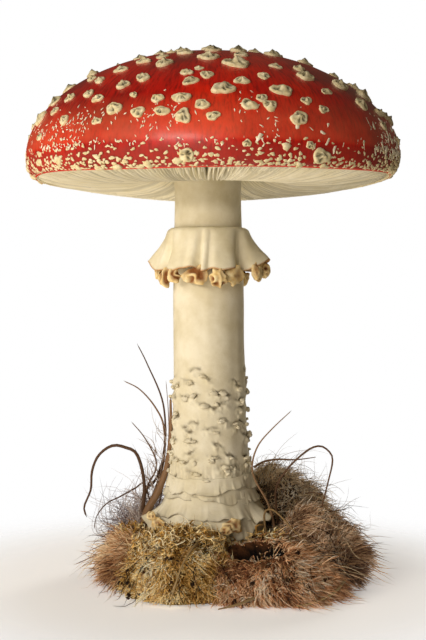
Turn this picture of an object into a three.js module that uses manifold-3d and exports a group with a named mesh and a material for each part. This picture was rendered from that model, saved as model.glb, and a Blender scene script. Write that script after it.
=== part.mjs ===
// A fly agaric lifted from a wood with the clod of soil and moss that it grew in.
// Millimetres, +Z up. The origin is the middle of the clod's flat underside, below the crown of the cap.
// +X is the mushroom's right and -Y its front.
import * as THREE from "three";
import { mergeVertices } from "three/addons/utils/BufferGeometryUtils.js";
import Module from "manifold-3d";

const wasm = await Module();
wasm.setup();

// ---- Driving dimensions -------------------------------------------------------------------------
const GAP = 0.3; // clearance between pieces that touch

const CAP_RADIUS = 69.2; // at the widest line, a little above the rim
const CAP_EQUATOR = 157; // height of that line
const CROWN_RISE = 38.8; // from the equator to the crown
const CROWN_FULLNESS = 1.9; // 2 would be an ellipse; less is a little leaner at the shoulder
const RIM_RADIUS = 65.6; // the thin edge where skin meets gills
const RIM_HEIGHT = 148.6;
const RIM_SAG = 1.2; // the rim hangs this much lower in front and behind, and higher at the sides
const CAP_SIDES = 40;

const STEM_TOP = 158; // where the stem enters the flesh
const GILL_PLEATS = 46;
const GILL_DEPTH = 0.62; // how deep the valley between two gills goes, as a share of the gill's height

const STEM_SIDES = 28;
const STEM_LEAN_FOOT = -0.6; // the stem's axis in X at the ground
const STEM_LEAN_TOP = -2.1; // and under the cap

const VEIL_TOP = 131.2; // the ring's collar
const VEIL_HEM = 115.4; // its lower edge
const VEIL_SIDES = 40;
const VEIL_WALL = 1.1;

const CLOD_TOP = 13;
const CLOD_CENTRE = [6, 0];

// ---- Small helpers ------------------------------------------------------------------------------
const rad = THREE.MathUtils.degToRad;
const v2 = (r, z) => new THREE.Vector2(r, z);
const v3 = (x, y, z) => new THREE.Vector3(x, y, z);
const material = (color, roughness) => new THREE.MeshStandardMaterial({ color, roughness, metalness: 0 });

// Moves every vertex of a geometry by a function of its place.
function reshape(geometry, place) {
  const at = geometry.getAttribute("position");
  const p = v3();
  for (let i = 0; i < at.count; i++) {
    place(p.fromBufferAttribute(at, i));
    at.setXYZ(i, p.x, p.y, p.z);
  }
  return geometry;
}

// A profile of (radius, height) points turned about +Z.
function turned(profile, sides) {
  return new THREE.LatheGeometry(profile, sides).rotateX(Math.PI / 2);
}

// A geometry as a manifold-3d solid, and a solid as a geometry.
function solid(geometry) {
  const bare = geometry.clone();
  bare.deleteAttribute("normal");
  bare.deleteAttribute("uv");
  const merged = mergeVertices(bare, 1e-3);
  return new wasm.Manifold(
    new wasm.Mesh({
      numProp: 3,
      vertProperties: new Float32Array(merged.attributes.position.array),
      triVerts: new Uint32Array(merged.index.array),
    }),
  );
}

function surface(body) {
  const mesh = body.getMesh();
  const points = new Float32Array(mesh.numVert * 3);
  for (let i = 0; i < mesh.numVert; i++)
    points.set(mesh.vertProperties.subarray(i * mesh.numProp, i * mesh.numProp + 3), i * 3);
  return new THREE.BufferGeometry()
    .setAttribute("position", new THREE.BufferAttribute(points, 3))
    .setIndex(new THREE.BufferAttribute(mesh.triVerts, 1));
}

// The largest of a solid's separate bodies.
function largest(body) {
  return body.decompose().reduce((best, next) => (next.volume() > best.volume() ? next : best));
}

const group = new THREE.Group();

function add(name, geometry, finish) {
  const mesh = new THREE.Mesh(geometry, finish);
  mesh.name = name;
  group.add(mesh);
  return mesh;
}

// ---- Cap ----------------------------------------------------------------------------------------
// A dome that is nearly an ellipse above the equator. Below it the margin curls in to the rim, and the
// flesh is hollowed for the gills. angle 0 is the crown and 90 degrees the equator.
function domePoint(angle) {
  const power = 2 / CROWN_FULLNESS;
  return v2(CAP_RADIUS * Math.sin(angle) ** power, CAP_EQUATOR + CROWN_RISE * Math.cos(angle) ** power);
}

const DOME_STEPS = 11;
const MARGIN_STEPS = 3;
// From the gill chamber's ceiling over the stem outwards to the rim: [radius, height].
const CEILING = [
  [14.2, STEM_TOP + GAP],
  [30, 161],
  [46, 160],
  [58, 156],
  [64.2, 150.4],
];

function capProfile() {
  const profile = [v2(0, STEM_TOP + GAP), ...CEILING.map(([r, z]) => v2(r, z)), v2(RIM_RADIUS, RIM_HEIGHT)];
  for (let i = MARGIN_STEPS - 1; i > 0; i--) {
    const turn = (i / MARGIN_STEPS) * (Math.PI / 2);
    profile.push(
      v2(
        RIM_RADIUS + (CAP_RADIUS - RIM_RADIUS) * Math.cos(turn),
        CAP_EQUATOR - (CAP_EQUATOR - RIM_HEIGHT) * Math.sin(turn),
      ),
    );
  }
  for (let i = DOME_STEPS; i > 0; i--) profile.push(domePoint((i / DOME_STEPS) * (Math.PI / 2)));
  profile.push(v2(0, CAP_EQUATOR + CROWN_RISE));
  return profile;
}

// The rim sags in front and behind and lifts at the sides, most at the rim and not at all above the equator.
function sag(p) {
  const bearing = Math.atan2(p.y, p.x);
  const nearRim = THREE.MathUtils.smoothstep(Math.hypot(p.x, p.y), 20, RIM_RADIUS);
  const below = 1 - THREE.MathUtils.smoothstep(p.z, RIM_HEIGHT, CAP_EQUATOR + 6);
  p.z += RIM_SAG * Math.cos(2 * bearing) * nearRim * below;
}

const skinRed = material(0xc4201a, 0.35);
add("cap", reshape(turned(capProfile(), CAP_SIDES), sag), skinRed);

// ---- Gills --------------------------------------------------------------------------------------
// One comb of blades that hangs from the cap's flesh and stops short of the stem. It is a ring whose
// lower surface is pleated: every other column of the lathe is lifted towards the ceiling.
const GILL_EDGE = [
  [64.4, 149.2],
  [56, 146.8],
  [45, 145.7],
  [32, 146.2],
  [22.5, 148.6],
  [17.4, 152.5],
];

// The section of one blade: out along the free edge and back along the flesh.
function gillProfile() {
  const edge = GILL_EDGE.map(([r, z]) => v2(r, z));
  const flesh = [
    v2(17.4, STEM_TOP - GAP),
    ...CEILING.slice(1, -1).map(([r, z]) => v2(r - GAP, z - 2 * GAP)),
    v2(63.9, 150),
  ];
  return [...edge.reverse(), ...flesh.reverse()];
}

function gillGeometry() {
  const profile = gillProfile();
  profile.push(profile[0].clone());
  const geometry = turned(profile, GILL_PLEATS * 2);
  return reshape(geometry, (p) => {
    const radius = Math.hypot(p.x, p.y);
    const column = Math.round((Math.atan2(p.y, p.x) / Math.PI) * GILL_PLEATS);
    const edge = GILL_EDGE.find(([r]) => Math.abs(r - radius) < 0.05);
    if (edge && Math.abs(p.z - edge[1]) < 0.05 && column % 2 !== 0 && radius < 60) {
      const ceiling = 160 - Math.max(0, radius - 46) * 0.33;
      p.z += (ceiling - p.z) * GILL_DEPTH;
    }
    sag(p);
  });
}

add("gills", gillGeometry(), material(0xe9dfc0, 0.7));

// ---- Stem ---------------------------------------------------------------------------------------
// Nearly cylindrical, thickening downwards to a bulb that is buried in the clod.
const STEM_OUTLINE = [
  [9, 4.4],
  [15.5, 7.5],
  [19.2, 13],
  [20.2, 19],
  [19.4, 24],
  [17.6, 29],
  [16.2, 35],
  [14.9, 45],
  [13.9, 58],
  [13.3, 78],
  [13.1, 105],
  [12.8, 125],
  [12.4, 142],
  [12.8, 152],
  [13.6, STEM_TOP],
];

function stemProfile(out) {
  return [
    v2(0, 4 - out),
    ...STEM_OUTLINE.map(([r, z], i) => v2(r + out, i === 0 ? z - out : z)),
    v2(0, STEM_TOP),
  ];
}

// The stem leans very slightly to the left of the crown's axis as it rises.
function lean(p) {
  p.x += THREE.MathUtils.mapLinear(p.z, 0, STEM_TOP, STEM_LEAN_FOOT, STEM_LEAN_TOP);
}

function stemRadius(height) {
  const above = STEM_OUTLINE.findIndex(([, z]) => z >= height);
  const [r0, z0] = STEM_OUTLINE[above - 1];
  const [r1, z1] = STEM_OUTLINE[above];
  return THREE.MathUtils.mapLinear(height, z0, z1, r0, r1);
}

const flesh = material(0xe6d8b4, 0.6);
add("stem", reshape(turned(stemProfile(0), STEM_SIDES), lean), flesh);

// ---- Ring ---------------------------------------------------------------------------------------
// The skirt left by the partial veil: a thin membrane that grips the stem at its collar and hangs in
// folds, with its hem drawn out to a point on each side.
const VEIL_OUTSIDE = [
  [13.9, VEIL_TOP],
  [14.7, 129.8],
  [15.3, 126.5],
  [16.6, 122],
  [18.3, 118.2],
  [19.2, VEIL_HEM],
];
const HEM_LIFT = 3; // how much higher the hem is at its two points

function veilFold(bearing, down) {
  const pleats = 0.06 * Math.cos(5 * bearing + 0.9) + 0.04 * Math.cos(3 * bearing - 0.6);
  const points = 0.1 * Math.cos(bearing) ** 6;
  return 1 + (pleats + points) * down;
}

function veilGeometry() {
  const outside = VEIL_OUTSIDE.map(([r, z]) => v2(r, z));
  const inside = VEIL_OUTSIDE.map(([r, z]) => v2(Math.max(r - VEIL_WALL, 13.35), z - 0.4)).reverse();
  inside[inside.length - 1].set(13.35, VEIL_TOP - 0.5);
  const profile = [...outside, ...inside, outside[0].clone()].reverse();
  return reshape(turned(profile, VEIL_SIDES), (p) => {
    const bearing = Math.atan2(p.y, p.x);
    const down = THREE.MathUtils.clamp((VEIL_TOP - 2 - p.z) / (VEIL_TOP - VEIL_HEM - 2), 0, 1);
    const fold = veilFold(bearing, down);
    p.x *= fold;
    p.y *= fold;
    p.z += HEM_LIFT * Math.cos(bearing) ** 4 * down;
    lean(p);
  });
}

add("ring", veilGeometry(), material(0xe8dab6, 0.65));

// The ragged teeth under the hem, where the veil tore from the gills: [bearing from the front in
// degrees, width along the hem, drop].
const TEETH = [
  [-70, 6.6, 6.6],
  [-42, 4.6, 4.8],
  [-16, 9, 6.2],
  [12, 6.2, 6.4],
  [37, 8.6, 6.6],
  [66, 7, 6],
  [97, 8, 5.4],
  [126, 6.4, 6],
  [155, 8.4, 5],
  [186, 7, 6.2],
  [217, 8.2, 5.6],
  [250, 6.4, 5],
];
const TOOTH_THICKNESS = 3;
const ochre = material(0xd9a45c, 0.75);

TEETH.forEach(([bearing, width, drop], i) => {
  const turn = rad(bearing - 90);
  const hem = (VEIL_OUTSIDE.at(-1)[0] - VEIL_WALL / 2) * veilFold(turn, 1);
  const top = VEIL_HEM - 0.4 - GAP + HEM_LIFT * Math.cos(turn) ** 4;
  const tooth = new THREE.SphereGeometry(0.5, 7, 5).rotateX(Math.PI / 2);
  tooth.scale(width, TOOTH_THICKNESS, drop).translate(0, -hem, top - drop / 2).rotateZ(rad(bearing));
  add(`ring_tooth_${String(i + 1).padStart(2, "0")}`, reshape(tooth, lean), ochre);
});

// ---- Volva --------------------------------------------------------------------------------------
// What is left of the outer veil on the bulb: three bands of torn scales, the lowest a ragged collar.
// A band is a closed ring with a ragged lower edge: [height of its top, height of its foot, flare].
const VOLVA_BANDS = [
  ["volva_collar", 27.5, 19.5, 2.4],
  ["volva_band_middle", 32.4, 29.2, 1.3],
  ["volva_band_upper", 38.6, 36, 0.9],
];
const VOLVA_SIDES = 36;

function volvaProfile(top, foot, flare, out) {
  const grip = (z) => stemRadius(z) + 1.6 * GAP - out;
  const middle = (top + foot) / 2;
  return [
    v2(grip(top), top),
    v2(grip(middle), middle),
    v2(grip(foot + 0.5), foot + 0.5),
    v2(stemRadius(foot) + 0.6 * flare + out, foot - out),
    v2(stemRadius(foot + 1) + flare + out, foot + 1),
    v2(stemRadius(middle) + 0.75 * flare + out, middle),
    v2(stemRadius(top) + 0.75 + out, top - 0.4 + out),
    v2(grip(top), top),
  ];
}

function ragged(p, top, foot) {
  const bearing = Math.atan2(p.y, p.x);
  const low = THREE.MathUtils.clamp((top - p.z) / (top - foot), 0, 1);
  const tear = 0.5 * Math.cos(7 * bearing) + 0.35 * Math.cos(11 * bearing + 2);
  p.z += tear * low * Math.min(1, (top - foot) / 4);
  lean(p);
}

for (const [name, top, foot, flare] of VOLVA_BANDS) {
  const band = turned(volvaProfile(top, foot, flare, 0), VOLVA_SIDES);
  add(name, reshape(band, (p) => ragged(p, top, foot)), material(0xe2d3ac, 0.75));
}

// ---- Clod ---------------------------------------------------------------------------------------
// A low round of dark soil, flat below, with a socket for the bulb. The moss cushions lie round and on it.
const soilOutline = (out) => [
  v2(0, -out),
  v2(32 + out, -out),
  v2(37 + out, 3),
  v2(36 + out, 8),
  v2(31 + out, 11.5 + out),
  v2(22 + out, CLOD_TOP + out),
  v2(0, CLOD_TOP + out),
];

function soilBody(out) {
  const body = turned(soilOutline(out), 24);
  return solid(
    reshape(body, (p) => {
      const bearing = Math.atan2(p.y, p.x);
      const uneven = 1 + 0.04 * Math.cos(3 * bearing + 0.5) + 0.03 * Math.cos(5 * bearing);
      p.x = p.x * uneven * 1.08 + CLOD_CENTRE[0];
      p.y = p.y * uneven + CLOD_CENTRE[1];
    }),
  );
}

// The room that the bulb and the volva's bands take up, with the clearance round them.
function bulbRoom() {
  let taken = solid(reshape(turned(stemProfile(1.5 * GAP), STEM_SIDES), lean));
  for (const [, top, foot, flare] of VOLVA_BANDS) {
    const sleeve = new THREE.CylinderGeometry(
      stemRadius(top) + 0.75 * flare + 4 * GAP,
      stemRadius(foot) + flare + 3 * GAP,
      top - foot + 3,
      VOLVA_SIDES,
    ).rotateX(Math.PI / 2);
    sleeve.translate(0, 0, (top + foot) / 2);
    taken = taken.add(solid(reshape(sleeve, lean)));
  }
  return taken;
}

const room = bulbRoom();
const soil = largest(soilBody(0).subtract(room));
add("soil_clod", surface(soil), material(0x2e2118, 0.95));

// Moss cushions: ellipsoids that share the clod between them. Each is cut by the soil, by the bulb's
// room and by the cushions before it, and stands on the ground at z 0.
const CUSHIONS = [
  { name: "moss_front_left", at: [-13, -25, 5], size: [23, 21, 17], colour: 0xa8904a },
  { name: "moss_front_right", at: [19, -26, 4], size: [26, 20, 17], colour: 0x8a4a24 },
  { name: "moss_right", at: [39, -1, 7], size: [20, 28, 20], colour: 0x5a3a22 },
  { name: "moss_back_right", at: [23, 20, 12], size: [24, 18, 28], colour: 0x46301f },
  { name: "moss_left", at: [-29, -7, 6], size: [14, 20, 14], colour: 0x6e4a2c },
  { name: "moss_back_left", at: [-20, 19, 7], size: [23, 17, 17], colour: 0x9a8878 },
  { name: "moss_back", at: [2, 33, 5], size: [24, 13, 15], colour: 0x6a5436 },
];

const LUMPINESS = 0.07;

function cushionBody({ at, size }, out) {
  const ball = new THREE.SphereGeometry(1, 18, 10).rotateX(Math.PI / 2);
  reshape(ball, (p) => {
    const bearing = Math.atan2(p.y, p.x);
    const lump = Math.cos(4 * bearing + at[0]) * Math.cos(3 * p.z + at[1]);
    p.multiplyScalar(1 + LUMPINESS * lump * Math.hypot(p.x, p.y));
  });
  ball.scale(size[0] + out, size[1] + out, size[2] + out).translate(...at);
  return solid(ball);
}

// A dark hollow in the moss beside the bulb, at the front right.
const HOLLOW = { at: [14, -27, 19], size: [6.2, 7, 5.6] };
const REACH = 400; // larger than the object, for the block below the ground
const below = solid(new THREE.BoxGeometry(REACH, REACH, REACH).translate(0, 0, -REACH / 2));

let taken = soilBody(1.6 * GAP).add(room).add(below);
for (const cushion of CUSHIONS) {
  let body = cushionBody(cushion, 0).subtract(taken);
  if (cushion.name === "moss_front_right") body = body.subtract(cushionBody(HOLLOW, 0));
  add(cushion.name, surface(largest(body)), material(cushion.colour, 0.95));
  taken = taken.add(cushionBody(cushion, GAP));
}

// ---- Grass and roots ----------------------------------------------------------------------------
// Dry grass blades, a dead leaf sheath and root strands. Each follows a smooth curve through a few
// points and tapers to its tip; width and thickness are of its root.
function blade(points, { width, thickness, tip = 0.35, steps = 12, sides = 5 }) {
  const curve = new THREE.CatmullRomCurve3(
    points.map((p) => v3(...p)),
    false,
    "centripetal",
  );
  const frames = curve.computeFrenetFrames(steps, false);
  const strip = new THREE.CylinderGeometry(1, 1, 1, sides, steps);
  return reshape(strip, (p) => {
    const along = THREE.MathUtils.clamp(p.y + 0.5, 0, 1);
    const i = Math.round(along * steps);
    const taper = THREE.MathUtils.lerp(1, tip, along);
    const centre = curve.getPointAt(along);
    centre.addScaledVector(frames.normals[i], (p.z * width * taper) / 2);
    centre.addScaledVector(frames.binormals[i], (p.x * thickness * taper) / 2);
    p.copy(centre);
  });
}

const BLADES = [
  {
    name: "grass_tall",
    size: { width: 1.1, thickness: 1.1 },
    at: [[-29, 8, 19.9], [-26.4, 7, 30.5], [-21.6, 6, 36.4], [-18.4, 6, 48], [-19, 6, 65], [-25, 6, 80], [-29, 6, 88]],
  },
  {
    name: "grass_arched",
    size: { width: 1.1, thickness: 1.1 },
    at: [[-27, 10, 22.4], [-19.5, 9.5, 40], [-18.8, 9.5, 55], [-22, 9.5, 63], [-28, 9.5, 70], [-34.5, 9.5, 73.5]],
  },
  {
    name: "grass_short",
    size: { width: 0.9, thickness: 0.9 },
    at: [[-28.4, 4, 18.6], [-25, 3.4, 33], [-21.9, 3, 39.5], [-21.8, 3, 44.5], [-26, 3, 52.5], [-31, 3, 58.5]],
  },
  {
    name: "grass_hoop_left",
    size: { width: 1.5, thickness: 1.3 },
    at: [
      [-27.4, 0.6, 19.6],
      [-25.8, 0, 34],
      [-28.4, 0, 46],
      [-33, 0, 49],
      [-38, 0, 49.6],
      [-43, 0, 46],
      [-45.5, 0, 40],
      [-46, 0, 33],
      [-48.5, 0, 26.5],
      [-47.4, 0, 22.4],
    ],
  },
  {
    name: "leaf_sheath",
    size: { width: 3.4, thickness: 0.9, tip: 0.3 },
    at: [[-26.4, -1.5, 20], [-24.6, -1.5, 25.5], [-20.4, -1.2, 33], [-17.3, -1, 42], [-15.9, -1, 53], [-15.9, -1, 68]],
  },
  {
    name: "grass_pale",
    size: { width: 0.7, thickness: 0.7 },
    at: [[-22, 10, 22], [-18.7, 7, 36], [-16.8, 4, 52], [-17, 3, 64], [-17.8, 3, 74]],
  },
  {
    name: "grass_fallen",
    size: { width: 0.8, thickness: 0.8, tip: 0.5 },
    at: [[-23.6, 12, 23.2], [-26, 10, 33.4], [-30, 8, 32.2], [-35.5, 6, 29.4], [-40.3, 4, 27.2], [-44, 3, 22.6], [-45, 2, 17.6]],
  },
  {
    name: "grass_upright_right",
    size: { width: 1, thickness: 1 },
    at: [[23.6, -9, 19.3], [20.5, -10, 29], [15.6, -10, 38], [14.4, -10, 44], [16.6, -10, 51], [21.6, -10, 57], [29, -10, 64]],
  },
  {
    name: "grass_level_right",
    size: { width: 0.9, thickness: 0.9 },
    at: [[15.5, -9.4, 43.4], [18.8, -7, 44.6], [24, -5, 45.2], [31, -3, 44.8], [38.7, -2, 45.6]],
  },
  {
    name: "grass_hoop_right",
    size: { width: 0.9, thickness: 0.9, tip: 0.7 },
    at: [
      [24.6, -2, 21.8],
      [23.4, -3, 33],
      [27, -4, 40.5],
      [32, -5, 46],
      [36.6, -5, 49.4],
      [40.5, -5, 50],
      [43.8, -5, 47.3],
      [44.4, -5, 44],
      [43, -5, 37.5],
      [40.3, -5, 28],
    ],
  },
  {
    name: "root_right",
    size: { width: 1, thickness: 1, tip: 0.4 },
    at: [[19.4, -16, 19.8], [18.6, -17.4, 27], [21, -19, 29], [24.5, -22, 26.8], [28.4, -26, 23], [33, -29, 19]],
  },
  {
    name: "root_right_low",
    size: { width: 1, thickness: 1, tip: 0.5 },
    at: [[46.5, -31, 6.4], [42, -38.5, 4], [35, -44.5, 2], [28, -47.5, 1.3]],
  },
  {
    name: "root_front",
    size: { width: 1, thickness: 1, tip: 0.4 },
    at: [[-4.4, -31, 21.6], [-7, -38, 19], [-10.5, -43.8, 14.2], [-13, -48, 7.5], [-14.5, -50.5, 1.6]],
  },
  {
    name: "root_front_low",
    size: { width: 1.1, thickness: 1.1, tip: 0.5 },
    at: [[14, -47.6, 4.2], [9, -49, 2.6], [5, -50, 1.7], [1.5, -51, 1.2]],
  },
];
const straw = material(0x6b4c33, 0.7);

for (const { name, at, size } of BLADES) add(name, blade(at, size), straw);

// ---- Warts --------------------------------------------------------------------------------------
// The largest patches of the outer veil on the cap's skin: low six-sided humps that lie on the dome.
// Each is [bearing from the front in degrees, distance from the axis, length along the rim].
const WARTS = [
  [-2, 43, 6.6],
  [-20, 48, 5.6],
  [9, 49.6, 7.9],
  [-39, 49.5, 5.2],
  [34, 56, 6.8],
  [50, 57, 7.4],
  [-24, 57, 5],
  [3, 62.2, 6.6],
  [21, 62.2, 6.4],
  [-29, 66.2, 5.8],
  [-9, 64.4, 5.2],
  [24, 68, 6],
  [80, 52, 6.8],
  [-84, 58, 6.6],
  [118, 61, 6.6],
  [150, 47, 7],
  [-148, 63, 6.4],
  [-118, 43, 7],
];
const WART_RISE = 0.36; // height as a share of length
const WART_DEPTH = 0.74; // breadth as a share of length
const wartCream = material(0xe8dcae, 0.75);

WARTS.forEach(([bearing, reach, length], i) => {
  const share = reach / CAP_RADIUS;
  const rise = CROWN_RISE * (1 - share ** CROWN_FULLNESS) ** (1 / CROWN_FULLNESS);
  const slope = Math.atan2(
    share ** (CROWN_FULLNESS - 1) / CAP_RADIUS,
    (rise / CROWN_RISE) ** (CROWN_FULLNESS - 1) / CROWN_RISE,
  );
  const height = length * WART_RISE;
  const wart = new THREE.CylinderGeometry(0.28, 0.5, height, 6).rotateX(Math.PI / 2);
  wart.scale(length, length * WART_DEPTH, 1).translate(0, 0, height / 2 + GAP);
  wart.rotateX(slope).translate(0, -reach, CAP_EQUATOR + rise).rotateZ(rad(bearing));
  add(`wart_${String(i + 1).padStart(2, "0")}`, wart, wartCream);
});

export default group;
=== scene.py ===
import bpy
import numpy as np
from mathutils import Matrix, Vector


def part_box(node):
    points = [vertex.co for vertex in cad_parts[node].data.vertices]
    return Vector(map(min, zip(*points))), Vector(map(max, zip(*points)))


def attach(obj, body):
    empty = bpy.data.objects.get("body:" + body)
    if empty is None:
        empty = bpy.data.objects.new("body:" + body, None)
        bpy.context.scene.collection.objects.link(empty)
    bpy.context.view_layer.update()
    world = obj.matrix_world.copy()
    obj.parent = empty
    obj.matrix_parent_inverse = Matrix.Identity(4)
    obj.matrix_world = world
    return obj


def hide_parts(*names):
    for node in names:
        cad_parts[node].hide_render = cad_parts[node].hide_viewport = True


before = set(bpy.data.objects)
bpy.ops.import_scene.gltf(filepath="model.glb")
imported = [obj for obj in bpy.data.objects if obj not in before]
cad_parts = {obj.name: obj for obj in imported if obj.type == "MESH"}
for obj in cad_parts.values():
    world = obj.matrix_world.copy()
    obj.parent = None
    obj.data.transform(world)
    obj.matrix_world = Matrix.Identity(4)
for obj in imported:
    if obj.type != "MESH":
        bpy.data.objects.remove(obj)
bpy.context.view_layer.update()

# ---- Camera, floor and light --------------------------------------------------------------------
# The mushroom stands on a pale studio table that fades into a white surround. The light comes from the
# front and the left, so that the stem's right side falls into shade. A narrow band of light shows in the
# cap's lower flank, and a wide soft one stands for the light that a table sends back up.
MM = 0.001
CAMERA_PLACE = (0, -450 * MM, 106.3 * MM)
CAMERA_TARGET = (0, 0, 96.9 * MM)
LENS = 67.5
FLOOR_RADIUS = 0.8
FLOOR_SIDES = 96
FLOOR_FADE = (0.055, 0.16)  # the table is solid inside the first radius and gone by the second


def linear(code, alpha=1.0):
    """An sRGB hex colour as linear red, green, blue and alpha: a power curve with a straight toe."""
    srgb = np.array([int(code[i : i + 2], 16) for i in (1, 3, 5)]) / 255
    toe = srgb <= 0.04045
    return (*np.where(toe, srgb / 12.92, ((srgb + 0.055) / 1.055) ** 2.4), alpha)


def add_node(owner, kind, inputs=None, stops=None, **settings):
    """Adds a node. inputs holds a value or a feeding output for each named or numbered socket."""
    tree = owner.node_tree
    node = tree.nodes.new(kind)
    for name, value in settings.items():
        setattr(node, name, value)
    for socket, value in (inputs or {}).items():
        if isinstance(value, bpy.types.NodeSocket):
            tree.links.new(value, node.inputs[socket])
        else:
            node.inputs[socket].default_value = value
    for place, colour in stops or []:
        element = node.color_ramp.elements.new(place)
        element.color = colour
    if stops:
        node.color_ramp.elements.remove(node.color_ramp.elements[0])
        node.color_ramp.elements.remove(node.color_ramp.elements[-1])
    return node


def empty_material(name):
    """A material whose node tree is still empty."""
    material = bpy.data.materials.new(name)
    material.use_nodes = True
    material.node_tree.nodes.clear()
    return material


def aim(thing, target):
    """Turns a lamp or camera so that it looks at a point."""
    thing.rotation_euler = (Vector(target) - thing.location).to_track_quat("-Z", "Y").to_euler()


def soft_lamp(name, place, target, size, power, colour, mirrored=True):
    """A rectangular lamp of a width and height, aimed at a target. It may be left out of reflections."""
    data = bpy.data.lights.new(name, "AREA")
    data.shape = "RECTANGLE"
    data.size, data.size_y = size
    data.energy = power
    data.color = linear(colour)[:3]
    lamp = bpy.data.objects.new(name, data)
    bpy.context.scene.collection.objects.link(lamp)
    lamp.location = place
    lamp.visible_glossy = mirrored
    aim(lamp, target)


camera = bpy.data.objects.new("camera", bpy.data.cameras.new("camera"))
camera.data.lens = LENS
camera.data.sensor_width = 36
camera.location = CAMERA_PLACE
bpy.context.scene.collection.objects.link(camera)
bpy.context.scene.camera = camera
aim(camera, CAMERA_TARGET)
bpy.context.scene.view_settings.view_transform = "Standard"

# For each lamp: its place, the point that it looks at, its width and height, its power and its colour.
soft_lamp("strip_above_front", (-0.68, -0.66, 0.44), (0, 0, 0.13), (0.6, 0.3), 4.7, "#fff8ee", mirrored=False)
soft_lamp("band_for_the_cap", (-0.32, -0.94, 0.29), (0, 0, 0.16), (0.5, 0.08), 2.5, "#fff4ea")
soft_lamp("low_left_lamp", (-0.86, -0.4, 0.16), (0, 0, 0.07), (0.3, 0.3), 1.1, "#fff6ea", mirrored=False)
soft_lamp("back_right_lamp", (0.36, 0.66, 0.2), (0, 0, 0.1), (0.2, 0.4), 3.8, "#fffaf4", mirrored=False)
soft_lamp(
    "table_bounce", (-0.38, -0.14, -0.04), (-0.38, -0.14, 1), (1.0, 1.1), 5.2, "#ffefd6", mirrored=False
)

world = bpy.data.worlds.new("white_surround")
world.use_nodes = True
world.node_tree.nodes.clear()
ambient = add_node(world, "ShaderNodeBackground", {"Color": linear("#f3dcba"), "Strength": 0.1})
backdrop = add_node(world, "ShaderNodeBackground", {"Color": linear("#ffffff"), "Strength": 1.0})
seen = add_node(world, "ShaderNodeLightPath")
surround = add_node(
    world, "ShaderNodeMixShader", {0: seen.outputs[0], 1: ambient.outputs[0], 2: backdrop.outputs[0]}
)
add_node(world, "ShaderNodeOutputWorld", {"Surface": surround.outputs[0]})
bpy.context.scene.world = world


def turned_points(radius, height, bearing):
    """Points on a turned surface. A bearing is counted from the front, -Y, towards +X."""
    radius, height, bearing = np.broadcast_arrays(radius, height, bearing)
    return np.stack([radius * np.sin(bearing), -radius * np.cos(bearing), height], axis=-1)


def make_mesh(name, points, faces, values=None, uv=None):
    """A smooth mesh object from arrays: points, sets of faces, named values and UVs at the points."""
    points = np.asarray(points, dtype=np.float64).reshape(-1, 3)
    mesh = bpy.data.meshes.new(name)
    mesh.vertices.add(len(points))
    mesh.vertices.foreach_set("co", points.ravel())
    corners = np.concatenate([f.ravel() for f in faces]).astype(np.int32)
    sides = np.concatenate([np.full(len(f), f.shape[1]) for f in faces])
    mesh.loops.add(len(corners))
    mesh.loops.foreach_set("vertex_index", corners)
    mesh.polygons.add(len(sides))
    mesh.polygons.foreach_set("loop_start", (np.cumsum(sides) - sides).astype(np.int32))
    mesh.update(calc_edges=True)
    mesh.shade_smooth()
    for label, value in (values or {}).items():
        field = mesh.attributes.new(label, "FLOAT", "POINT")
        field.data.foreach_set("value", np.asarray(value, dtype=np.float64).ravel())
    if uv is not None:
        layer = mesh.uv_layers.new(name="OFBake")
        layer.data.foreach_set("uv", uv.reshape(-1, 2)[corners].ravel())
    piece = bpy.data.objects.new(name, mesh)
    bpy.context.scene.collection.objects.link(piece)
    return piece


table_angles = np.linspace(0, 2 * np.pi, FLOOR_SIDES, endpoint=False)
table_points = turned_points(FLOOR_RADIUS, -0.2 * MM, table_angles)
table = make_mesh("studio_table", table_points, [np.arange(FLOOR_SIDES)[None]])
# Matt white table paint that fades out with the distance, so that no edge of the table shows.
table_finish = empty_material("pale_table_paint")
place = add_node(table_finish, "ShaderNodeTexCoord")
reach = add_node(table_finish, "ShaderNodeVectorMath", {0: place.outputs["Object"]}, operation="LENGTH")
fade = add_node(
    table_finish,
    "ShaderNodeMapRange",
    {"Value": reach.outputs["Value"], "From Min": FLOOR_FADE[0], "From Max": FLOOR_FADE[1]},
    interpolation_type="SMOOTHERSTEP",
)
paint = add_node(table_finish, "ShaderNodeBsdfDiffuse", {"Color": linear("#fbfaf9")})
glow = add_node(table_finish, "ShaderNodeEmission", {"Color": linear("#ffffff"), "Strength": 0.3})
lit = add_node(table_finish, "ShaderNodeAddShader", {0: paint.outputs[0], 1: glow.outputs[0]})
clear = add_node(table_finish, "ShaderNodeBsdfTransparent")
faded = add_node(
    table_finish, "ShaderNodeMixShader", {0: fade.outputs[0], 1: lit.outputs[0], 2: clear.outputs[0]}
)
add_node(table_finish, "ShaderNodeOutputMaterial", {"Surface": faded.outputs[0]})
table.data.materials.append(table_finish)
# A black card on the right, out of the camera's sight, keeps stray light off the stem's shaded side.
card_corners = [(0.088, -0.17, 0.046), (0.088, 0.03, 0.046), (0.088, 0.03, 0.122), (0.088, -0.17, 0.122)]
card = make_mesh("black_card", card_corners, [np.arange(4)[None]])
card_finish = empty_material("black_card_paper")
black = add_node(card_finish, "ShaderNodeBsdfDiffuse", {"Color": linear("#0c0b0a")})
add_node(card_finish, "ShaderNodeOutputMaterial", {"Surface": black.outputs[0]})
card.data.materials.append(card_finish)
card.visible_camera = False
card.visible_glossy = False

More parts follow.
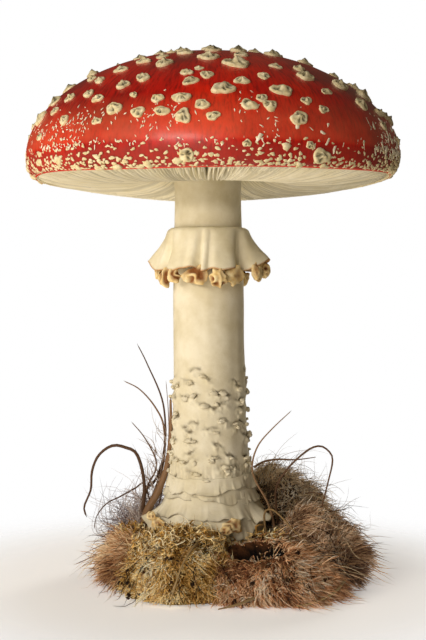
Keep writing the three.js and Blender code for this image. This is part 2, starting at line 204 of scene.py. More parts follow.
# ---- Cap ----------------------------------------------------------------------------------------
# The cap is solid white flesh under a thin, sticky red skin. The skin shows short radial fibrils, and
# it ends in a thin rim that hangs just past the gills. The hollow below holds the gills.
cap_low, cap_high = (np.array(corner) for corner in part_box("cap"))
CAP_RADIUS = (cap_high[0] - cap_low[0]) / 2
CROWN = cap_high[2]
EQUATOR = CROWN - 38.8 * MM
FULLNESS = 1.9  # 2 would make the dome an ellipse
RIM_RADIUS = 65.6 * MM
RIM_HEIGHT = 148.6 * MM
RIM_SAG = 1.2 * MM
CAP_SIDES = 400
CAP_RINGS = 124
DOME_RINGS = 70  # those of the rings that lie above the equator
# The lip and the hollow's ceiling, from the rim in to the axis: radius and height in millimetres.
CAP_UNDERSIDE = [(65.3, 148.3), (65.0, 148.5), (64.8, 149.2), (64.2, 150.6), (61.5, 153.8), (58, 156),
                 (46, 160), (30, 161), (14.2, 158.3), (5, 158.3)]


def smoothstep(value, low, high):
    """0 below low and 1 above high, with an S-shaped rise between."""
    share = np.clip((value - low) / (high - low), 0, 1)
    return share * share * (3 - 2 * share)


def lumps(points, size, seed=0):
    """Smooth random heights from -1 to 1: random values on a cubic lattice of the given spacing,
    blended between the eight nearest with an S-shaped weight."""
    cell = np.floor(points / size).astype(np.int64)
    share = points / size - cell
    share = share * share * (3 - 2 * share)
    total = np.zeros(points.shape[:-1])
    for corner in np.ndindex(2, 2, 2):
        key = (cell + corner) * np.array([73856093, 19349663, 83492791]) + 2654435761 * (seed + 1)
        mixed = key[..., 0] ^ (key[..., 1] << 7) ^ (key[..., 2] << 13)
        mixed = ((mixed ^ (mixed >> 15)) * 2246822519) & 0xFFFFFFFF
        mixed = ((mixed ^ (mixed >> 13)) * 3266489917) & 0xFFFFFFFF
        weight = np.prod(np.where(corner, share, 1 - share), axis=-1)
        total += weight * (mixed / 0x7FFFFFFF - 1)
    return total


def sagged(radius, height, bearing):
    """Height with the rim's sag: lower in front and behind, higher at the sides, and not in the dome."""
    near_rim = smoothstep(radius, 20 * MM, RIM_RADIUS)
    below = 1 - smoothstep(height, RIM_HEIGHT, EQUATOR + 6 * MM)
    wave = -np.cos(2 * bearing) + 0.3 * np.sin(bearing) + 0.18 * np.sin(5 * bearing + 0.7)
    return height + RIM_SAG * wave * near_rim * below


def cap_skin(fall, bearing):
    """A point of the skin. fall is in degrees: 0 at the crown, 90 at the equator, 180 at the rim.
    The dome is a near-ellipse turned about Z; below the equator a quarter ellipse curls in to the rim."""
    fall, bearing = np.broadcast_arrays(fall, bearing)
    upper = np.radians(np.clip(fall, 0, 90))
    lower = np.radians(np.clip(fall - 90, 0, 90))
    dome_radius = CAP_RADIUS * np.abs(np.sin(upper)) ** (2 / FULLNESS)
    dome_height = EQUATOR + (CROWN - EQUATOR) * np.abs(np.cos(upper)) ** (2 / FULLNESS)
    margin_radius = RIM_RADIUS + (CAP_RADIUS - RIM_RADIUS) * np.cos(lower)
    margin_height = EQUATOR - (EQUATOR - RIM_HEIGHT) * np.sin(lower)
    radius = np.where(fall < 90, dome_radius, margin_radius)
    height = np.where(fall < 90, dome_height, margin_height)
    return turned_points(radius, sagged(radius, height, bearing), bearing)


def lantern_faces(count, rings, sides):
    """Faces of closed shapes made of a pole, rings of points and a pole. Rings go from the first pole
    to the last, and the sides go round so that the faces point out."""
    stride = rings * sides + 2
    start = np.arange(count)[:, None, None] * stride + 1
    ring = np.arange(rings - 1)[:, None] * sides
    side = np.arange(sides)
    after = (side + 1) % sides
    here, there = start + ring + side, start + ring + after
    quads = np.stack([here, here + sides, there + sides, there], axis=-1).reshape(-1, 4)
    first, last = start[:, 0, :], start[:, 0, :] + (rings - 1) * sides
    pole = np.broadcast_to(first - 1, (count, sides))
    far_pole = np.broadcast_to(first - 1 + stride - 1, (count, sides))
    top = np.stack([pole, first + side, first + after], axis=-1).reshape(-1, 3)
    bottom = np.stack([far_pole, last + after, last + side], axis=-1).reshape(-1, 3)
    return [quads, np.concatenate([top, bottom])]


def with_poles(rings, first, last):
    """Adds the two pole points before and after an array of rings: (count, rings, sides, 3)."""
    count = len(rings)
    flat = rings.reshape(count, -1, 3)
    return np.concatenate([first.reshape(count, 1, 3), flat, last.reshape(count, 1, 3)], axis=1)


cap_bearings = np.linspace(-np.pi, np.pi, CAP_SIDES, endpoint=False)
skin_falls = np.concatenate([np.linspace(1.2, 78, DOME_RINGS), np.linspace(79, 180, CAP_RINGS - DOME_RINGS)])
skin_grid = cap_skin(skin_falls[:, None], cap_bearings)
outward = skin_grid * np.array([1, 1, 1.6]) - np.array([0, 0, EQUATOR * 1.6])
outward /= np.linalg.norm(outward, axis=-1, keepdims=True)
swell = 0.45 * lumps(skin_grid, 24 * MM, 1) + 0.16 * lumps(skin_grid, 8 * MM, 2)
# The margin is faintly grooved over the gills, about every 2 mm.
grooves = 0.07 * np.cos(200 * cap_bearings) * smoothstep(skin_falls, 95, 150)[:, None]
settled = 1 - 0.8 * smoothstep(skin_falls, 160, 180)[:, None]
skin_grid = skin_grid + outward * ((swell + grooves) * settled * MM)[..., None]
under_radius, under_height = (np.array(CAP_UNDERSIDE) * MM).T[:, :, None]
under_grid = turned_points(under_radius, sagged(under_radius, under_height, cap_bearings), cap_bearings)
cap_rings = np.concatenate([skin_grid, under_grid])[None]
cap_points = with_poles(cap_rings, np.array([0, 0, CROWN]), np.array([0, 0, CAP_UNDERSIDE[-1][1] * MM]))
fall_values = np.repeat(np.concatenate([skin_falls, np.full(len(CAP_UNDERSIDE), 180)]), CAP_SIDES)
cap = make_mesh(
    "cap_skin_and_flesh", cap_points, lantern_faces(1, cap_rings.shape[1], CAP_SIDES),
    {"fall": np.concatenate([[0], fall_values, [180]])},
)

# Fly agaric skin: a sticky gelatinous film over red pigment. It is glossy, with a wet-looking coat.
SKIN_RED = "#cf1506"
SKIN_ORANGE = "#e82c06"
SKIN_CRIMSON = "#8a0e0a"
# Partly the cap's paler margin, partly a painted highlight on the lower flank.
SKIN_PALE_AND_HIGHLIGHT = "#ea6a48"
SKIN_MARGIN = "#94322a"
SKIN_RIM = "#f0301c"
FIBRIL = 1.1  # breadth of a radial fibril at the margin, in mm
MARGIN_RADIAN = 69  # length of one radian of the margin, in mm

skin = empty_material("sticky_red_skin")
place = add_node(skin, "ShaderNodeTexCoord").outputs["Object"]
patch = add_node(skin, "ShaderNodeTexNoise", {"Vector": place, "Scale": 1000 / 38, "Detail": 3.0})
tones = add_node(
    skin,
    "ShaderNodeValToRGB",
    {"Fac": patch.outputs[0]},
    stops=[(0.3, linear(SKIN_CRIMSON)), (0.48, linear(SKIN_RED)), (0.68, linear(SKIN_ORANGE))],
)
flat = add_node(skin, "ShaderNodeVectorMath", {0: place, 1: (1, 1, 0)}, operation="MULTIPLY")
spoke = add_node(skin, "ShaderNodeVectorMath", {0: flat.outputs[0]}, operation="NORMALIZE")
climb = add_node(skin, "ShaderNodeVectorMath", {0: place, 1: (1.5, 1.5, 5)}, operation="MULTIPLY")
along = add_node(skin, "ShaderNodeVectorMath", {0: spoke.outputs[0], 1: climb.outputs[0]}, operation="ADD")
fibrils = add_node(
    skin,
    "ShaderNodeTexNoise",
    {"Vector": along.outputs[0], "Scale": MARGIN_RADIAN / FIBRIL, "Detail": 4.0, "Roughness": 0.6},
)
streaks = add_node(
    skin,
    "ShaderNodeValToRGB",
    {"Fac": fibrils.outputs[0]},
    stops=[(0.32, linear("#8f8f8f")), (0.5, linear("#e4e4e4")), (0.7, linear("#ffffff"))],
)
streaked = add_node(
    skin,
    "ShaderNodeMix",
    {0: 0.75, 6: tones.outputs[0], 7: streaks.outputs[0]},
    data_type="RGBA",
    blend_type="MULTIPLY",
)
fall = add_node(skin, "ShaderNodeAttribute", attribute_name="fall").outputs["Fac"]
mottle = add_node(skin, "ShaderNodeTexNoise", {"Vector": place, "Scale": 1000 / 5, "Detail": 3.0}).outputs[0]
uneven = add_node(
    skin,
    "ShaderNodeMapRange",
    {"Value": mottle, "From Min": 0.35, "From Max": 0.6, "To Min": 0.7, "To Max": 1},
)
# Bands that fade in and out between four falls in degrees, each with its colour and its strength. The deep
# crimson at the crown is painted shade. The pale band is partly the cap's paler margin and partly a painted
# highlight. Then a duskier red over the lower margin, and the red rim.
skin_colour = streaked.outputs[2]
for start, full, level, end, colour, strength in (
    (-2, -1, 8, 44, SKIN_CRIMSON, 0.75),
    (66, 80, 88, 98, SKIN_PALE_AND_HIGHLIGHT, 0.42),
    (94, 112, 170, 176, SKIN_MARGIN, 0.7),
    (173, 177, 182, 183, SKIN_RIM, 1.0),
):
    into = add_node(
        skin, "ShaderNodeMapRange", {"Value": fall, "From Min": start, "From Max": full, "To Max": strength}
    )
    out_of = add_node(
        skin,
        "ShaderNodeMapRange",
        {"Value": fall, "From Min": level, "From Max": end, "To Min": 1, "To Max": 0},
    )
    band = add_node(skin, "ShaderNodeMath", {0: into.outputs[0], 1: out_of.outputs[0]}, operation="MULTIPLY")
    share = add_node(skin, "ShaderNodeMath", {0: band.outputs[0], 1: uneven.outputs[0]}, operation="MULTIPLY")
    skin_colour = add_node(
        skin, "ShaderNodeMix", {0: share.outputs[0], 6: skin_colour, 7: linear(colour)}, data_type="RGBA"
    ).outputs[2]
relief = add_node(
    skin, "ShaderNodeBump", {"Strength": 0.35, "Distance": 0.25 * MM, "Height": fibrils.outputs[0]}
)
dull = add_node(skin, "ShaderNodeMapRange", {"Value": patch.outputs[0], "To Min": 0.34, "To Max": 0.52})
bsdf = add_node(
    skin,
    "ShaderNodeBsdfPrincipled",
    {
        "Base Color": skin_colour,
        "Roughness": dull.outputs[0],
        "IOR": 1.42,
        "Specular IOR Level": 0.45,
        "Coat Weight": 0.6,
        "Coat Roughness": 0.25,
        "Normal": relief.outputs[0],
    },
)
add_node(skin, "ShaderNodeOutputMaterial", {"Surface": bsdf.outputs[0]})


def soft_flesh(name, colours, grain, roughness, bump, crease_colour=None, crease_share=0.85):
    """Matt mushroom flesh: two mixed tones at the size of a grain in mm, darkened where the mesh's
    crease value is high, with a fine bump."""
    material = empty_material(name)
    place = add_node(material, "ShaderNodeTexCoord").outputs["Object"]
    mottle = add_node(
        material,
        "ShaderNodeTexNoise",
        {"Vector": place, "Scale": 1000 / grain, "Detail": 5.0, "Roughness": 0.6},
    )
    tone = add_node(
        material,
        "ShaderNodeValToRGB",
        {"Fac": mottle.outputs[0]},
        stops=[(0.34, linear(colours[0])), (0.66, linear(colours[1]))],
    ).outputs[0]
    if crease_colour:
        crease = add_node(material, "ShaderNodeAttribute", attribute_name="crease").outputs["Fac"]
        share = add_node(material, "ShaderNodeMapRange", {"Value": crease, "To Max": crease_share})
        tone = add_node(
            material,
            "ShaderNodeMix",
            {0: share.outputs[0], 6: tone, 7: linear(crease_colour)},
            data_type="RGBA",
        ).outputs[2]
    pores = add_node(material, "ShaderNodeTexNoise", {"Vector": place, "Scale": 1000 / 0.6, "Detail": 4.0})
    relief = add_node(
        material, "ShaderNodeBump", {"Strength": 0.5, "Distance": bump * MM, "Height": pores.outputs[0]}
    )
    surface = add_node(
        material,
        "ShaderNodeBsdfPrincipled",
        {"Base Color": tone, "Roughness": roughness, "IOR": 1.4, "Normal": relief.outputs[0]},
    )
    add_node(material, "ShaderNodeOutputMaterial", {"Surface": surface.outputs[0]})
    return material


# The flesh over the gills is matt and ivory white, like the cut side of a button mushroom.
cap.data.materials.append(skin)
cap.data.materials.append(soft_flesh("white_cap_flesh", ("#dccfa6", "#e9dfc0"), 6, 0.7, 0.05))
skin_faces = CAP_RINGS * CAP_SIDES
face_slots = np.zeros(len(cap.data.polygons), dtype=np.int32)
face_slots[skin_faces : (cap_rings.shape[1] - 1) * CAP_SIDES] = 1
face_slots[-CAP_SIDES:] = 1
cap.data.polygons.foreach_set("material_index", face_slots)
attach(cap, "root")
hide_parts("cap")

# ---- Gills --------------------------------------------------------------------------------------
# Thin blades of flesh hang from the cap side by side. Full ones run from near the stem to the rim, and
# shorter ones fill in between them towards the rim. Their cut-thin lower edges are free of the stem.
GILL_EDGE = [(17.4, 152.5), (22.5, 148.6), (32, 146.2), (45, 145.7), (56, 146.6), (64.6, 148.7)]
GILL_ROOT = [(14.2, 158.5), (30, 161.2), (46, 160.2), (58, 156.2), (64.6, 150.6)]
GILL_THICKNESS = (0.62, 0.3)  # at the root and at the free edge, in mm
GILL_REACH = 64.6  # radius of the gills' outer end, in mm
FULL_GILLS = 156
# For each set of blades: how many, inner radius in mm, stations along a blade, the share of a gap by
# which they are turned, and the seed.
GILL_SETS = [(FULL_GILLS, 17.6, 14, 0, 11), (FULL_GILLS, 38, 9, 0.5, 12), (FULL_GILLS * 2, 54, 5, 0.25, 13)]


def gill_comb(count, inner, stations, offset, seed):
    """Blades as four-sided bars along the radius: for each station, root and edge heights come from
    the two outlines, and the blade wanders sideways by a slow sine."""
    random = np.random.default_rng(seed)
    start = inner + random.uniform(-0.06, 0.06, count) * inner
    share = np.linspace(0, 1, stations)
    radius = start[:, None] + (GILL_REACH - start[:, None]) * share
    edge = np.interp(radius, *np.array(GILL_EDGE).T)
    root = np.interp(radius, *np.array(GILL_ROOT).T)
    # A short gill rises to the flesh at its inner end.
    rise = np.clip((radius - start[:, None]) / 5, 0, 1) if inner > 20 else np.ones_like(radius)
    edge = root - (root - edge) * rise**0.7
    spacing = 2 * np.pi / count
    unevenness = random.uniform(-0.12, 0.12, (count, 1)) * spacing
    bearing = (np.arange(count) + offset)[:, None] * spacing + unevenness
    phase = random.uniform(0, 6, (count, 1))
    bearing = bearing + 0.006 * np.sin(radius / 8 + phase) + 0.05 * ((radius - 40) / 40) ** 2
    root_half, edge_half = (value / 2 / radius for value in GILL_THICKNESS)
    turns = np.stack([root_half, edge_half, -edge_half, -root_half], axis=-1)
    heights = np.stack([root, edge, edge, root], axis=-1) * MM
    around = bearing[..., None] + turns
    radii = np.broadcast_to(radius[..., None] * MM, around.shape)
    rings = turned_points(radii, sagged(radii, heights, around), around)
    # Painted shade: some blades are painted darker than others, so that the slots between them read as shadow
    # lines, and all are darkest at the root, deep in the slots.
    slot_shade = np.array([0.8, 0.0, 0.0, 0.8]) + random.uniform(0, 0.5, (count, 1, 1)) ** 1.5
    end_shade = np.full((count, 1), 0.5)
    slot_shade = np.concatenate([end_shade, np.repeat(slot_shade, stations, 1).reshape(count, -1), end_shade], axis=1)
    return with_poles(rings, rings[:, 0].mean(axis=1), rings[:, -1].mean(axis=1)), np.clip(slot_shade, 0, 1)


gill_points, gill_faces, gill_shade, so_far = [], [], [], 0
for count, inner, stations, offset, seed in GILL_SETS:
    points, slot_shade = gill_comb(count, inner, stations, offset, seed)
    gill_points.append(points.reshape(-1, 3))
    gill_faces += [faces + so_far for faces in lantern_faces(count, stations, 4)]
    gill_shade.append(slot_shade.ravel())
    so_far += len(gill_points[-1])
gills = make_mesh(
    "gill_blades", np.concatenate(gill_points), gill_faces, {"crease": np.concatenate(gill_shade)}
)

# Gill tissue: thin, matt and cream. Towards the roots it is painted olive grey as shade, because the slots
# are deep.
gill_finish = soft_flesh(
    "cream_gills", ("#f2eacc", "#fdf8e4"), 7, 0.75, 0.03, crease_colour="#4c472c", crease_share=0.95
)
gills.data.materials.append(gill_finish)
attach(gills, "root")
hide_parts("gills")

# ---- Warts --------------------------------------------------------------------------------------
# Scraps of the outer veil stuck to the cap as it grew. They are low, chalky, cream buns, and most are pinched
# up to a peak with a moat round it. The peak, the moat and the creases are painted darker as shade.

# Each row is an angle down from the crown, with the bearing and the length in mm of each wart in front.
FRONT_WARTS = {
    36: [(-26, 4.2), (14, 5)],
    40: [(-2, 6.6), (-33, 5)],
    45: [(-20, 5.6)],
    47: [(-39, 5.2), (9, 7.9), (25, 4.2), (36, 4.6)],
    51: [(-52, 4.2), (-5, 3.2)],
    54: [(-44, 4.4), (-9, 3.9), (34, 6.8)],
    56: [(-24, 5), (-2, 4.5), (17, 4.5), (50, 7.4)],
    60: [(-30, 4.7), (-7, 4.8), (9, 4.8)],
    63: [(-53, 4.5), (-43, 4.2), (38, 4.5)],
    65: [(3, 6.6), (21, 6.4)],
    67: [(-37, 4.2), (-24, 2.6), (53, 6)],
    70: [(-57, 3.8), (-16, 3.9), (-9, 5.2), (14, 3.8), (28, 3.8)],
    74: [(-29, 5.8), (-3, 4.5), (10, 4.8), (16, 4.8), (33, 3.8)],
    77: [(-48, 4.2), (-21, 4.5), (-14, 4.5)],
    80: [(-34, 3.4), (-8, 5.2), (0, 4), (24, 6)],
    104: [(9, 2.8), (27, 3.0)],
    128: [(31, 6.2), (-7, 5)],
}
# The large warts behind and at the sides, which the solid model holds too: angle, bearing, length.
BACK_WARTS = [(50, 80, 6.8), (58, -84, 6.6), (62, 118, 6.6), (44, 150, 7), (66, -148, 6.4), (40, -118, 7)]
SCATTERED_WARTS = 130
WART_SPACING = 7.6  # least distance between the middles of two warts, in mm
WART_FOOT = 1.08  # how much longer a wart's foot is than the part of it that shows
WART_PINCH = 0.72  # how sharply a wart is pinched up, from 0 for a smooth bun


def skin_frame(fall, bearing):
    """For points of the skin: the point, and unit vectors along the rim, uphill and outwards."""
    step = 0.2
    point = cap_skin(fall, bearing)
    rimward = cap_skin(fall, bearing + np.radians(step)) - cap_skin(fall, bearing - np.radians(step))
    uphill = cap_skin(fall - step, bearing) - cap_skin(fall + step, bearing)
    rimward /= np.linalg.norm(rimward, axis=-1, keepdims=True)
    uphill /= np.linalg.norm(uphill, axis=-1, keepdims=True)
    outwards = np.cross(rimward, uphill)
    return point, rimward, uphill, outwards


def veil_patches(fall, bearing, length, breadth, rise, rings, sides, pinch, seed, turn=None, ragged=1.0):
    """Low buns on the skin. A tilt angle runs from the top to a little past the edge, so that the side
    tucks under: radius is its sine, and height a flattened cosine. The outline is a circle with random
    harmonics. Pinching raises a small peak, sinks a moat round it and cuts a few creases outwards.
    Returns the points and how much painted shade each gets: on the peak, and down in the creases."""
    random = np.random.default_rng(seed)
    count = len(fall)
    tilt = np.linspace(0, np.radians(112), rings + 1)[1:]
    around = np.linspace(0, 2 * np.pi, sides, endpoint=False)
    shape = np.ones((count, 1, sides))
    for harmonic, size in ((2, 0.16), (3, 0.14), (5, 0.08)):
        phase = random.uniform(0, 2 * np.pi, (count, 1, 1))
        swing = random.uniform(0.3, 1, (count, 1, 1))
        shape = shape + ragged * size * swing * np.cos(harmonic * around + phase)
    reach = np.sin(tilt)[None, :, None] * np.ones((count, 1, sides))
    x = reach * shape * np.cos(around) / 2
    y = reach * shape * np.sin(around) / 2
    z = np.broadcast_to((np.sign(np.cos(tilt)) * np.abs(np.cos(tilt)) ** 0.6)[None, :, None], x.shape) * 0.8
    inner = np.cos(tilt)[None, :, None] > 0
    peak_turn = random.uniform(0, 2 * np.pi, (count, 1, 1))
    squeeze = 1 + 0.7 * np.cos(around - peak_turn) ** 2
    peak = np.exp(-((reach * squeeze / 0.42) ** 2))
    moat = np.exp(-(((reach - 0.52) / 0.17) ** 2)) * (0.55 + 0.45 * np.cos(around - peak_turn + 1.2))
    crease = np.zeros_like(x)
    for _ in range(4):
        direction = random.uniform(0, 2 * np.pi, (count, 1, 1))
        gap = np.abs((around - direction + np.pi) % (2 * np.pi) - np.pi)
        crease = np.maximum(crease, np.exp(-((gap * reach / 0.1) ** 2)) * smoothstep(reach, 0.12, 0.4))
    crease = crease * (1 - smoothstep(reach, 0.6, 0.95)) * inner
    size = length[:, None, None]
    # Each patch reads its own stretch of the noise.
    local = np.stack([x * size, y * size, z * size], axis=-1)
    local = local + 40 * MM * np.arange(count)[:, None, None, None]
    crumple = lumps(local, 1.3 * MM, seed)
    z = z * (1 + 0.4 * pinch * crumple) + pinch * inner * (0.7 * peak - 0.36 * moat - 0.55 * crease)
    turn = np.zeros(count) if turn is None else turn
    cos, sin = np.cos(turn)[:, None, None], np.sin(turn)[:, None, None]
    x, y = x * size, y * breadth[:, None, None]
    y = y + pinch * peak * 0.16 * breadth[:, None, None]
    x, y = x * cos - y * sin, x * sin + y * cos
    point, rimward, uphill, outwards = (v[:, None, None, :] for v in skin_frame(fall, bearing))
    lift = (z * rise[:, None, None])[..., None]
    rings_at = point + rimward * x[..., None] + uphill * y[..., None] + outwards * lift
    top_shift = uphill[:, 0, 0] * (pinch * 0.16 * breadth)[:, None]
    top = point[:, 0, 0] + outwards[:, 0, 0] * (rise * (0.8 + 0.74 * pinch))[:, None] + top_shift
    foot = point[:, 0, 0] - outwards[:, 0, 0] * (rise * 0.35)[:, None]
    # Painted shade: darkest in the creases and the moat, in the dents of the crumple and on the peak's uphill
    # side.
    uphill_side = 0.5 + 0.5 * np.sin(around + turn[:, None, None])
    dark = pinch * (1.5 * crease + 0.5 * moat * inner + 1.5 * peak * uphill_side - 0.5 * crumple * inner)
    dark = np.clip(dark, 0, 1).reshape(count, -1)
    dark = np.concatenate([np.full((count, 1), 1.3 * pinch), dark, np.zeros((count, 1))], axis=1)
    return with_poles(rings_at, top, foot), dark


def scatter(count, falls, spacing, taken, seed):
    """Random places on the skin between two falls that keep their distance from those taken."""
    random = np.random.default_rng(seed)
    found = []
    places = list(cap_skin(np.array([t[0] for t in taken]), np.radians([t[1] for t in taken])))
    for _ in range(6000):
        fall = falls[0] + (falls[1] - falls[0]) * random.random() ** 0.6
        bearing = random.uniform(-180, 180)
        point = cap_skin(np.array(fall), np.radians(bearing))
        if np.linalg.norm(np.array(places) - point, axis=1).min() > spacing * MM:
            places.append(point)
            found.append((fall, bearing, random.uniform(3.4, 6.8)))
        if len(found) == count:
            break
    return found


front = [(fall, bearing, length) for fall, row in FRONT_WARTS.items() for bearing, length in row]
# In the band that the front rows already fill, nothing more is scattered.
guard = [(fall, bearing, 0) for fall in range(42, 90, 6) for bearing in range(-54, 55, 6)]
chosen = front + BACK_WARTS
scattered = scatter(SCATTERED_WARTS, (3, 84), WART_SPACING, chosen + guard, 21)
# Dried veil: chalky, crumbly cream tissue, with painted olive grey shade in its folds.
wart_finish = soft_flesh(
    "chalky_veil_cream", ("#d2c291", "#efe4c0"), 1.6, 0.85, 0.12, crease_colour="#3f3b2a", crease_share=0.9
)
for name, places, rings, sides in (("cap_warts", chosen, 11, 24), ("small_cap_warts", scattered, 6, 12)):
    wart_fall, wart_bearing, wart_length = np.array(places).T
    wart_random = np.random.default_rng(len(places))
    wart_length = wart_length * WART_FOOT
    wart_breadth = wart_length * wart_random.uniform(0.66, 0.86, len(places))
    wart_rise = wart_length * wart_random.uniform(0.2, 0.27, len(places))
    wart_points, wart_dark = veil_patches(
        wart_fall, np.radians(wart_bearing), wart_length * MM, wart_breadth * MM, wart_rise * MM,
        rings, sides, WART_PINCH, 23,
    )
    warts = make_mesh(name, wart_points, lantern_faces(len(wart_points), rings, sides), {"crease": wart_dark})
    warts.data.materials.append(wart_finish)
    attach(warts, "root")
    if name == "cap_warts":
        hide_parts(*(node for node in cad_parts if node.startswith("wart_")))

# ---- Scraps at the rim --------------------------------------------------------------------------
# The veil tore last along the margin. It left rows of flat cream chips there, which nearly touch just
# above the rim and thin out upwards, and higher still a belt of thin white shreds.

# For each row of chips: angle down from the crown, how many, and their usual length in mm.
CHIP_ROWS = [(167, 230, 1.7), (155, 250, 1.9), (143, 250, 2.1), (130, 220, 2.0), (117, 170, 1.8),
             (105, 120, 1.6), (95, 70, 1.5)]
COBBLES = 300  # small chips packed close together on either side of the cap
SHREDS = 1400
SHRED_CLUMPS = 150
BROAD_SHREDS = 90  # larger torn scraps, mostly on the right
CHIP_GRID, SHRED_GRID = (3, 8), (2, 7)  # rings and sides of a chip and of a shred


def rim_chips():
    """Rows of flat chips with a few large ones among them, and cobbles at the sides."""
    random = np.random.default_rng(31)
    rows = []
    for fall, count, length in CHIP_ROWS:
        bearing = (np.arange(count) + random.uniform(-0.42, 0.42, count)) * 2 * np.pi / count
        size = length * random.uniform(0.5, 1.15, count) * (1 + 1.1 * (random.random(count) > 0.94))
        kept = random.random(count) > 0.14
        row = np.stack([fall + random.normal(0, 3.2, count), bearing, size, random.normal(0, 0.35, count)])
        rows.append(row[:, kept])
    for side in (-np.pi / 2, np.pi / 2):
        rows.append(
            np.stack(
                [
                    random.uniform(86, 172, COBBLES),
                    side + random.normal(0, 0.17, COBBLES),
                    random.uniform(0.8, 1.7, COBBLES),
                    random.uniform(-1, 1, COBBLES),
                ]
            )
        )
    fall, bearing, size, turn = np.concatenate(rows, axis=1)
    fall = np.clip(fall, 84, 172)
    size = size * MM
    return veil_patches(fall, bearing, size, size * 0.66, size * 0.19, *CHIP_GRID, 0.1, 32, turn, ragged=2.1)


def shreds():
    """Narrow flat strips turned mostly downhill, gathered in loose clumps, and a few broad ones."""
    random = np.random.default_rng(33)
    clump = random.integers(0, SHRED_CLUMPS, SHREDS)
    clump_bearing = random.uniform(-np.pi, np.pi, SHRED_CLUMPS)[clump]
    clump_fall = random.uniform(72, 100, SHRED_CLUMPS)[clump]
    bearing = clump_bearing + random.normal(0, 0.07, SHREDS)
    fall = clump_fall + random.normal(0, 4, SHREDS)
    length = random.uniform(0.4, 1.9, SHREDS)
    breadth = 0.3 + 0.12 * length
    broad = np.arange(SHREDS) < BROAD_SHREDS
    bearing = np.where(broad, np.radians(random.normal(62, 22, SHREDS)), bearing)
    fall = np.clip(np.where(broad, random.uniform(74, 114, SHREDS), fall), 62, 124)
    length = np.where(broad, random.uniform(1.6, 4.2, SHREDS), length)
    breadth = np.where(broad, 0.42 * length, breadth)
    turn = np.pi / 2 + random.normal(0, 0.7, SHREDS)
    return veil_patches(
        fall, bearing, length * MM, breadth * MM, (0.05 + 0.05 * length) * MM,
        *SHRED_GRID, 0.1, 34, turn, ragged=2.0,
    )


# Thin shreds dry out whiter than the thick warts.
shred_finish = soft_flesh("white_veil_shreds", ("#e2d8b8", "#f6efdc"), 1.6, 0.8, 0.1)
for name, (points, dark), grid, finish in (
    ("rim_chips", rim_chips(), CHIP_GRID, wart_finish),
    ("margin_shreds", shreds(), SHRED_GRID, shred_finish),
):
    scraps = make_mesh(name, points, lantern_faces(len(points), *grid), {"crease": dark})
    scraps.data.materials.append(finish)
    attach(scraps, "root")

# ---- Stem ---------------------------------------------------------------------------------------
# A stout ivory stem that swells to a bulb in the soil. Its lower half carries torn scales of the outer veil,
# in rough rings, each a small lip that curls away from the stem over a crease that is painted dark as shade.

# The outline from the foot up: radius and height in millimetres.
STEM_OUTLINE = [(9, 4.4), (15.5, 7.5), (19.2, 13), (20.2, 19), (19.4, 24), (17.6, 29), (16.2, 35), (14.9, 45),
                (13.9, 58), (13.3, 78), (13.1, 105), (12.8, 125), (12.4, 142), (12.8, 152), (13.6, 158)]
STEM_FOOT, STEM_TOP = 4.0, 158.0
STEM_SIDES, STEM_RINGS = 240, 330
LEAN = (-0.6, -2.1)  # the axis in X, at the ground and at the top
# Rows of scales: height, how many go round, and how far they stand out, in mm.
SCALE_ROWS = [(80, 3, 0.8), (75.5, 8, 1.0), (71, 9, 1.2), (66, 10, 1.3), (61, 9, 1.3), (56.5, 10, 1.3),
              (52, 9, 1.3), (47.5, 10, 1.2), (43.5, 12, 0.9), (40.5, 12, 0.8)]


def smooth_path(points, steps):
    """A curve through the points: on each stretch a cubic whose slopes are those of the chords
    between neighbours, sampled evenly along its length."""
    points = np.asarray(points, dtype=float)
    padded = np.concatenate([2 * points[:1] - points[1:2], points, 2 * points[-1:] - points[-2:-1]])
    a, b, c, d = padded[:-3], padded[1:-2], padded[2:-1], padded[3:]
    t = np.linspace(0, 1, 24, endpoint=False)[None, :, None]
    a, b, c, d = (v[:, None, :] for v in (a, b, c, d))
    curve = 0.5 * (2 * b + (c - a) * t + (2 * a - 5 * b + 4 * c - d) * t**2 + (3 * b - a - 3 * c + d) * t**3)
    curve = np.concatenate([curve.reshape(-1, points.shape[1]), points[-1:]])
    length = np.concatenate([[0], np.cumsum(np.linalg.norm(np.diff(curve, axis=0), axis=1))])
    even = np.linspace(0, length[-1], steps)
    return np.stack([np.interp(even, length, column) for column in curve.T], axis=-1)


stem_curve = smooth_path(STEM_OUTLINE, 200)


def stem_radius(height):
    """The stem's radius in mm at a height in mm."""
    return np.interp(height, stem_curve[:, 1], stem_curve[:, 0])


def leaned(points):
    """Moves points, in metres, with the stem's slight lean to the left."""
    shift = np.zeros_like(points)
    shift[..., 0] = np.interp(points[..., 2], (0, STEM_TOP * MM), np.array(LEAN) * MM)
    return points + shift


def scale_places():
    """Every scale in turn: its bearing, its height in mm, and how far it stands out in mm."""
    random = np.random.default_rng(40)
    for level, count, stand in SCALE_ROWS:
        for turn in (np.arange(count) + random.uniform(0, 1)) * 2 * np.pi / count:
            yield (
                turn + random.normal(0, 0.12),
                level + random.normal(0, 1.4),
                stand * random.uniform(0.6, 1.15),
            )


